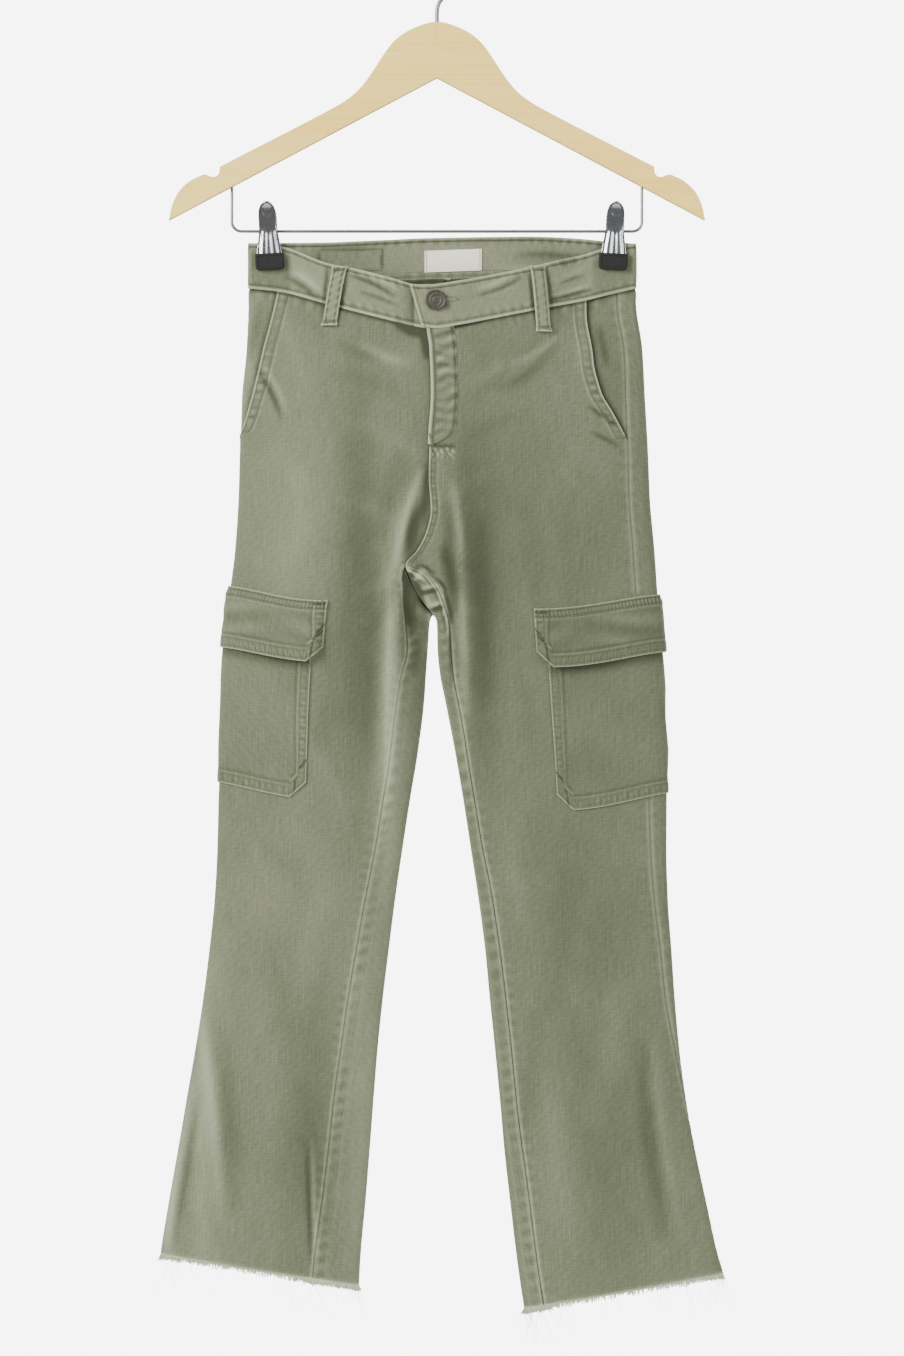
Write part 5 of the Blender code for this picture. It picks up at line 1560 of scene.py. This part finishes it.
class JEANS_OT_waist(Build, bpy.types.Operator):
    """Fly front, waistband, belt loops and the blank label, with their stitches"""

    bl_idname = "jeans.waist"
    bl_label = "Waist"

    def make(self, context, sizes, colours):
        twill, stitches = washed_twill(colours), Thread(sizes)
        fly, band, label = fly_grid(), band_grid(), label_grid()
        stitches.run(*line_down(fly, 2.6, foot=FLY_FOOT - 3))
        stitches.run(*line_down(fly, 2.4, foot=FLY_FOOT - 16, from_end=True))
        stitches.tack(*fly.at(len(fly.places) - 5, 12), (0.3, 0, -1), 9, 2.4)
        for from_end in (False, True):
            stitches.run(*line_across(band, 2.7, from_end, 3))
        stitches.run(*line_down(band, 3))
        self.inside_band(stitches, band)
        self.buttonhole(stitches)
        sew("cloth_waistband", [band], twill, band.wall, "waistband")
        sew("cloth_fly", [fly], twill, fly.wall, "fly_front")
        for name, (face, x_top, x_foot) in LOOPS.items():
            loop = loop_grid(face, x_top, x_foot)
            for from_end in (False, True):
                stitches.run(*line_down(loop, 1.7, from_end=from_end))
            for row in (1.6, 43):
                stitches.tack(*loop.at(row, 6), (1, 0, 0), 9.5, 2.4)
            wall = LOOP_PLIES - 0.6
            sew(f"cloth_loop_{name}", [loop], twill, wall, f"belt_loop_{name}")
        sew("cloth_label", [label], woven_ribbon(), 0.3, "size_label")
        for from_end in (False, True):
            places, outward = line_down(label, 1.6, from_end=from_end)
            stitches.run(places - 0.35 * outward, -outward, 0.1, 2.2, 1.8)
        set_in(stitches.build("stitches_waist", sewing_thread(colours)))

    def inside_band(self, stitches, band):
        """The rows along the band's inner face, and the box where the label on the other side was sewn on."""
        x, y, _ = band.places[0].T
        columns = np.nonzero((y > 0) & (x > -150) & (x < 158))[0]
        for distance, from_end in ((2.4, True), (7.6, True), (2.7, False)):
            places, outward = band.at(band.row_at(distance, from_end)[columns], columns)
            stitches.run(places - BAND_PLIES * outward, -outward, 0.15)
        for (x_from, drop_from), (x_to, drop_to) in zip(SEWN_BOX, SEWN_BOX[1:]):
            places = band_surface("back", np.linspace(x_from, x_to, 30), np.linspace(drop_from, drop_to, 30))
            outward = np.tile((0.0, -1.0, 0.0), (30, 1))
            stitches.run(places + outward * (BAND_PLIES - BAND_LIFT), outward, 0.2)

    def buttonhole(self, stitches):
        """Close purl stitches round the slit that the button's shank passes through."""
        turn = np.linspace(0, 2 * np.pi, 60)
        eyelet = np.cos(turn) < 0
        x = 8.5 * np.cos(turn) * (1 + 0.12 * eyelet)
        places = band_surface("front", 9 + x, 297 + 1.9 * np.sin(turn) * (1 + 0.4 * eyelet) - 0.02 * x)
        places[:, 1] -= BAND_LIFT + OVERLAP_OUT + 0.35
        outward = unit((places - places.mean(0)) * (1, 0, 1))
        stitches.add(places, outward * 2.2, np.tile((0.0, -1.0, 0.0), (60, 1)))


class JEANS_OT_fray(Build, bpy.types.Operator):
    """Frayed yarn ends along both raw hems"""

    bl_idname = "jeans.fray"
    bl_label = "Frayed hems"

    def make(self, context, sizes, colours):
        yarn = frayed_yarn(colours)
        rng = np.random.default_rng(11)
        for side, loose_ends in (("right", 46), ("left", 74)):
            hems = []
            for grid in GRIDS[side]:
                rows, columns = grid.places.shape[:2]
                hems.append(grid.at(rows - 1, np.linspace(0, columns - 1, 600)))
            places, outward = (np.concatenate(values) for values in zip(*hems))
            places = places - outward * TWILL / 2
            short, short_faces = self.yarns(rng, places, outward, 2300, 3, sizes.fray, 0.44)
            long, long_faces = self.yarns(rng, places, outward, loose_ends, 15, sizes.loose_end, 0.15)
            faces = np.concatenate((short_faces, long_faces + len(short)))
            obj = mesh_object(f"fray_threads_{side}", np.concatenate((short, long)), faces, yarn)
            set_in(facing_out(obj), [f"hem_fray_{side}"])

    def yarns(self, rng, places, outward, count, joints, longest, radius):
        """Yarn ends that hang from places of the hem: short ones lean in clumps, long ones wander and curl."""
        chosen = rng.integers(0, len(places), count)
        start = places[chosen] + outward[chosen] * rng.uniform(-0.5, 0.5, count)[:, None]
        steps = np.linspace(0, 1, joints)[:, None, None]
        if joints < 5:
            clumps = 0.8 + 0.3 * np.sin(chosen / 23) * np.sin(chosen / 7 + 1)
            reach = longest * rng.uniform(0.5, 1.1, count) * clumps
            curl = 0
        else:
            reach = longest * rng.uniform(0.3, 1.0, count) ** 1.5
            wander = rng.uniform(0.8, 3.0, (count, 3)) * (1, 0.7, 0.3)
            curl = wander * np.sin(steps * rng.uniform(4, 11, (count, 3)) + rng.uniform(0, 6, (count, 3))) * steps
        lean = rng.normal(0, 0.4, (count, 3)) * (1, 0.6, 0)
        route = start + (np.array((0, 0, -1.0)) + lean) * (reach[:, None] * steps) + curl
        route[0] += (0, 0, 1.4)
        angles = np.array((0, 2.094, 4.189))
        ring = np.stack((np.cos(angles), np.sin(angles), 0 * angles), -1)
        points = (route[:, :, None] + (radius * (1 - 0.5 * steps))[..., None] * ring).transpose(1, 0, 2, 3)
        last = 3 * joints - 3
        faces = tube_faces(3, joints) + [(2, 1, 0, 0), (last, last + 1, last + 2, last + 2)]
        return repeated(points.reshape(count, -1, 3), faces)


# ---- Hard pieces


def select_only(obj):
    bpy.ops.object.select_all(action="DESELECT")
    obj.select_set(True)
    bpy.context.view_layer.objects.active = obj


def turn_outward():
    """Turns all faces of the piece in edit mode outwards, and ends its editing."""
    bpy.ops.mesh.select_all(action="SELECT")
    bpy.ops.mesh.normals_make_consistent(inside=False)
    bpy.ops.object.mode_set(mode="OBJECT")


def apply_modifiers(obj):
    select_only(obj)
    for modifier in list(obj.modifiers):
        bpy.ops.object.modifier_apply(modifier=modifier.name)


def lean_of(side):
    return math.radians(CLIP_LEAN if side == "left" else -CLIP_LEAN)


def leaning(side):
    """The clips' lean about their pads, tops outwards."""
    pivot = Vector((CLIP_X[side], 0, -PAD_DROP)) * MM
    return Matrix.Translation(pivot) @ Matrix.Rotation(lean_of(side), 4, "Y") @ Matrix.Translation(-pivot)


def rounded(route, times=3):
    """The route with its corners cut again and again, which leaves a smooth bend."""
    for _ in range(times):
        first, last = route[:-1] * 0.75 + route[1:] * 0.25, route[:-1] * 0.25 + route[1:] * 0.75
        route = np.concatenate((route[:1], np.stack((first, last), 1).reshape(-1, 3), route[-1:]))
    return route


def wire(name, route, thickness, material, sides=3):
    """A bent wire along places in mm."""
    curve = bpy.data.curves.new(name, "CURVE")
    curve.dimensions = "3D"
    curve.bevel_depth = thickness / 2 * MM
    curve.bevel_resolution = sides
    curve.use_fill_caps = True
    spline = curve.splines.new("POLY")
    spline.points.add(len(route) - 1)
    spline.points.foreach_set("co", np.column_stack((route * MM, np.ones(len(route)))).ravel())
    obj = bpy.data.objects.new(name, curve)
    bpy.context.scene.collection.objects.link(obj)
    select_only(obj)
    bpy.ops.object.convert(target="MESH")
    obj = bpy.context.view_layer.objects.active
    obj.data.materials.clear()
    obj.data.materials.append(material)
    bpy.ops.object.shade_smooth_by_angle(angle=math.radians(50))
    return obj


class JEANS_OT_button(Build, bpy.types.Operator):
    """Jeans button with concentric rings"""

    bl_idname = "jeans.button"
    bl_label = "Button"

    def make(self, context, sizes, colours):
        bpy.ops.object.select_all(action="DESELECT")
        radius, height = BUTTON_RINGS[0]
        bpy.ops.mesh.primitive_circle_add(vertices=72, radius=radius * MM, fill_type="NGON")
        button = context.view_layer.objects.active
        button.name = "jeans_button"
        bpy.ops.object.mode_set(mode="EDIT")
        bpy.ops.mesh.select_all(action="SELECT")
        for next_radius, next_height in BUTTON_RINGS[1:]:
            bpy.ops.mesh.extrude_region_move(TRANSFORM_OT_translate={"value": (0, 0, (next_height - height) * MM)})
            share = next_radius / radius
            bpy.ops.transform.resize(value=(share, share, 1), center_override=(0, 0, next_height * MM))
            radius, height = next_radius, next_height
        turn_outward()
        bpy.ops.object.shade_smooth_by_angle(angle=math.radians(50))
        seat = band_surface("front", *BUTTON) - (0, BAND_LIFT + OVERLAP_OUT + 0.3, 0)
        button.data.transform(Matrix.Translation(Vector(seat) * MM) @ Matrix.Rotation(math.radians(90), 4, "X"))
        button.data.materials.append(gunmetal())
        set_in(button, ["button"])


class JEANS_OT_clips(Build, bpy.types.Operator):
    """Two chrome clips: stamped jaws, rubber pads and coil springs"""

    bl_idname = "jeans.clips"
    bl_label = "Clips"

    def make(self, context, sizes, colours):
        chrome = bright_metal("Bright chrome plate", "#B4B6B9", "#97999C", 0.24, 4)
        spring_steel = bright_metal("Drawn spring steel", "#B9B7B6", "#8E8C8C", 0.3, 2)
        rubber = black_rubber()
        for side in SIDES:
            for short, face, way in (("fr", "front", -1), ("bk", "back", 1)):
                jaw = self.jaw(f"clip_jaw_{short}_{side}", side, way, chrome)
                set_in(jaw, [f"clip_jaw_{face}_{side}"])
                pad = self.pad(f"clip_pad_{short}_{side}", side, way, rubber)
                set_in(pad, [f"clip_pad_{face}_{side}"])
            set_in(self.spring(side, spring_steel), [f"clip_spring_{side}"])

    def jaw(self, name, side, way, chrome):
        """A stamped plate: rounded tab with a thumb dimple, flanges beside the spring, and flutes above the pad."""
        columns, rows = 33, 46
        bpy.ops.object.select_all(action="DESELECT")
        bpy.ops.mesh.primitive_grid_add(x_subdivisions=columns - 1, y_subdivisions=rows - 1, size=2)
        jaw = bpy.context.view_layer.objects.active
        jaw.name = name
        flat = np.empty(len(jaw.data.vertices) * 3)
        jaw.data.vertices.foreach_get("co", flat)
        across, up, _ = flat.reshape(-1, 3).T
        across = across * 1.35
        top, foot = JAW["drop"][0], JAW["drop"][-1]
        drop = top + (foot - top) * ((1 - up) / 2) ** 1.25
        half = read(JAW, "half", drop)
        corner = half[0]
        from_top = np.clip(drop - top, 0, corner)
        half = half * np.sqrt(np.clip(1 - (1 - from_top / corner) ** 2, 0.0004, 1))
        narrow = np.clip(half / corner, 0, 1)
        inside = np.clip(across, -1, 1)
        beyond = np.maximum(np.abs(across) - 1, 0)
        flange = 0.12 + 3.2 * smooth(drop, 226, 231) * (1 - smooth(drop, 247, 252))
        dimple = np.clip(1 - np.hypot(inside * half / 5.3, (drop - 222.3) / 5.9) ** 2, 0, 1)
        flutes = np.cos(inside * 2 * np.pi) * smooth(drop, 238, 241) * (1 - smooth(np.abs(inside), 0.85, 1))
        out = read(JAW, "out", drop) - 0.7 * inside**2 - 1.6 * dimple - 0.6 * flutes
        out = out - beyond / 0.35 * flange * narrow
        x = CLIP_X[side] + inside * half + np.sign(across) * beyond * 0.8 * narrow
        jaw.data.vertices.foreach_set("co", (np.stack((x, way * out, -drop), -1) * MM).ravel())
        plate = jaw.modifiers.new("Sheet steel", "SOLIDIFY")
        plate.thickness = JAW_PLATE * MM
        plate.offset = 0
        apply_modifiers(jaw)
        bpy.ops.object.mode_set(mode="EDIT")
        turn_outward()
        bpy.ops.object.shade_smooth_by_angle(angle=math.radians(60))
        jaw.data.transform(leaning(side))
        jaw.data.materials.append(chrome)
        return jaw

    def pad(self, name, side, way, rubber):
        """A rubber shoe with rounded lower corners and a rim round its gripping face."""
        bpy.ops.object.select_all(action="DESELECT")
        bpy.ops.mesh.primitive_cube_add(size=1)
        pad = bpy.context.view_layer.objects.active
        pad.name = name
        pad.data.transform(Matrix.Diagonal((*(size * MM for size in PAD_SIZE), 1)))
        weights = pad.data.attributes.new("bevel_weight_edge", "FLOAT", "EDGE")
        for edge in pad.data.edges:
            ends = [pad.data.vertices[index].co for index in edge.vertices]
            runs_through = abs(ends[0].y - ends[1].y) > MM
            weights.data[edge.index].value = 1.0 if runs_through and ends[0].z < 0 else 0.0
        for label, method, width, segments in (
            ("Lower corners", "WEIGHT", 3.4, 6),
            ("Moulded edges", "ANGLE", 0.9, 3),
        ):
            bevel = pad.modifiers.new(label, "BEVEL")
            bevel.limit_method = method
            bevel.angle_limit = math.radians(50)
            bevel.width = width * MM
            bevel.segments = segments
        apply_modifiers(pad)
        bpy.ops.object.mode_set(mode="EDIT")
        bpy.ops.mesh.select_all(action="DESELECT")
        bpy.ops.object.mode_set(mode="OBJECT")
        for polygon in pad.data.polygons:
            polygon.select = polygon.normal.y * way > 0.99 and polygon.area > 2e-5
        bpy.ops.object.mode_set(mode="EDIT")
        bpy.ops.mesh.select_mode(type="FACE")
        bpy.ops.mesh.inset(thickness=1.1 * MM, depth=0)
        bpy.ops.mesh.inset(thickness=0.4 * MM, depth=-0.45 * MM)
        bpy.ops.object.mode_set(mode="OBJECT")
        bpy.ops.object.shade_smooth_by_angle(angle=math.radians(35))
        out = PINCHED_HALF + BAND_LIFT + GAP + PAD_SIZE[1] / 2
        place = Matrix.Translation((CLIP_X[side] * MM, way * out * MM, -PAD_DROP * MM))
        pad.data.transform(leaning(side) @ place)
        pad.data.materials.append(rubber)
        return pad

    def spring(self, side, steel):
        """A coil round the bar, with its two ends turned up behind and in front."""
        middle = CLIP_X[side] + math.tan(lean_of(side)) * (PAD_DROP - BAR_DROP)
        turn = np.linspace(0.5 * np.pi, (2 * COIL_TURNS + 0.5) * np.pi, 22 * COIL_TURNS)
        x = np.linspace(middle - COIL_HALF, middle + COIL_HALF, len(turn))
        coil = np.stack((x, COIL_RADIUS * np.cos(turn), COIL_RADIUS * np.sin(turn) - BAR_DROP), -1)
        tails = np.array([(middle + way * COIL_HALF, -8.2 * way, -227.5) for way in (-1, 1)])
        return wire(f"clip_coil_{side}", np.concatenate((tails[:1], coil, tails[1:])), COIL_WIRE, steel, 2)


class JEANS_OT_hanger(Build, bpy.types.Operator):
    """Hook, clip bar and the finish of the wooden arms"""

    bl_idname = "jeans.hanger"
    bl_label = "Hanger"

    def make(self, context, sizes, colours):
        steel = bright_metal("Plain drawn steel wire", "#A9A6A5", "#8B8889", 0.45, 6)
        angles = np.radians(-48 + np.arange(18) * 14)
        arc = np.stack((HOOK_RADIUS * np.cos(angles), 0 * angles, HOOK_RADIUS * np.sin(angles) - HOOK_DROP), -1)
        hook = wire("hanger_hook", rounded(np.concatenate((HOOK_STEM, arc))), HOOK_WIRE, steel, 5)
        set_in(hook, ["hook"])
        corner = np.radians(np.linspace(90, 0, 9))
        out, down = BAR_HALF - BAR_CORNER * (1 - np.sin(corner)), BAR_DROP - BAR_CORNER * (1 - np.cos(corner))
        half = np.concatenate(([(BAR_HALF, 0, -BAR_END)], np.stack((out, 0 * out, -down), -1)))
        bar = wire("hanger_clip_bar", np.concatenate((half * (-1, 1, 1), half[::-1])), BAR_WIRE, steel, 4)
        set_in(bar, ["clip_bar"])
        beech = pale_beech()
        for side in SIDES:
            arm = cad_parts[f"hanger_arm_{side}"]
            arm.data.materials.clear()
            arm.data.materials.append(beech)


class JEANS_OT_studio(bpy.types.Operator):
    """Pale floor, soft light and the camera"""

    bl_idname = "jeans.studio"
    bl_label = "Studio"
    bl_options = {"REGISTER", "UNDO"}

    def execute(self, context):
        light = context.scene.studio_light
        bpy.ops.object.select_all(action="DESELECT")
        bpy.ops.mesh.primitive_plane_add(size=1.15, location=(0.01, 0.05, -1.26))
        floor = context.view_layer.objects.active
        floor.name = "studio_floor"
        floor.data.materials.append(studio_paper())
        for name, place, energy in (
            ("Key softbox", (-2.3, -2.0, 0.7), light.key),
            ("Fill softbox", (2.2, -2.2, -0.3), light.fill),
            ("Rear softbox, right", (-2.3, 2.2, 0.3), light.rear),
            ("Rear softbox, left", (2.4, 2.3, 0.1), light.rear),
        ):
            lamp = bpy.data.lights.new(name, "AREA")
            lamp.shape = "SQUARE"
            lamp.size = 1.5
            lamp.energy = energy
            to_jeans = Vector((0, 0, -0.6)) - Vector(place)
            self.hold(context.scene, lamp, place, to_jeans.to_track_quat("-Z", "Y").to_euler())
        self.room(context.scene, light.sky)
        camera = bpy.data.cameras.new("Camera")
        camera.lens = 159.6
        camera.sensor_width = 36
        camera.dof.use_dof = False
        upright = (math.radians(90), 0, 0)
        context.scene.camera = self.hold(context.scene, camera, (0.0125, -5.0, -0.6104), upright)
        return {"FINISHED"}

    def hold(self, scene, data, place, turn):
        """Puts a lamp or the camera in its place."""
        obj = bpy.data.objects.new(data.name, data)
        obj.location = place
        obj.rotation_euler = turn
        scene.collection.objects.link(obj)
        return obj

    def room(self, scene, strength):
        """A pale room: near white where it is seen, softer where it lights, and dark to mirrors past the lamps."""
        world = bpy.data.worlds.new("Pale room")
        scene.world = world
        world.use_nodes = True
        tree = world.node_tree
        tree.nodes.clear()
        lighting = node(tree, "ShaderNodeBackground", Color=(0.98, 0.985, 1, 1), Strength=strength).outputs[0]
        mirrored = node(tree, "ShaderNodeBackground", Color=(1, 1, 1, 1), Strength=strength * 0.3).outputs[0]
        seen = node(tree, "ShaderNodeBackground", Color=(1, 1, 1, 1), Strength=7).outputs[0]
        ray = node(tree, "ShaderNodeLightPath").outputs
        lit = node(tree, "ShaderNodeMixShader", [(0, ray["Is Glossy Ray"]), (1, lighting), (2, mirrored)])
        mix = node(tree, "ShaderNodeMixShader", [(0, ray["Is Camera Ray"]), (1, lit.outputs[0]), (2, seen)])
        node(tree, "ShaderNodeOutputWorld", [(0, mix.outputs[0])])


class JEANS_PT_sidebar(bpy.types.Panel):
    """Sizes, colours and build steps of the jeans"""

    bl_label = "Jeans"
    bl_idname = "JEANS_PT_sidebar"
    bl_space_type = "VIEW_3D"
    bl_region_type = "UI"
    bl_category = "Jeans"

    def draw(self, context):
        for group in (context.scene.jeans_sizes, context.scene.jeans_colours, context.scene.studio_light):
            box = self.layout.box()
            for name in group.__annotations__:
                box.prop(group, name)
        for step in STEPS:
            self.layout.operator(step.bl_idname)


STEPS = (
    JEANS_OT_panels,
    JEANS_OT_cargo_pockets,
    JEANS_OT_clips,
    JEANS_OT_waist,
    JEANS_OT_fray,
    JEANS_OT_button,
    JEANS_OT_hanger,
    JEANS_OT_studio,
)
GROUPS = {"jeans_sizes": JeansSizes, "jeans_colours": JeansColours, "studio_light": StudioLight}
CLASSES = (*GROUPS.values(), *STEPS, JEANS_PT_sidebar)


def register():
    for cls in CLASSES:
        bpy.utils.register_class(cls)
    for name, group in GROUPS.items():
        setattr(bpy.types.Scene, name, PointerProperty(type=group))


def unregister():
    for name in GROUPS:
        delattr(bpy.types.Scene, name)
    for cls in reversed(CLASSES):
        bpy.utils.unregister_class(cls)


def main():
    register()
    for step in STEPS:
        area, action = step.bl_idname.split(".")
        getattr(getattr(bpy.ops, area), action)()


if __name__ == "__main__":
    main()
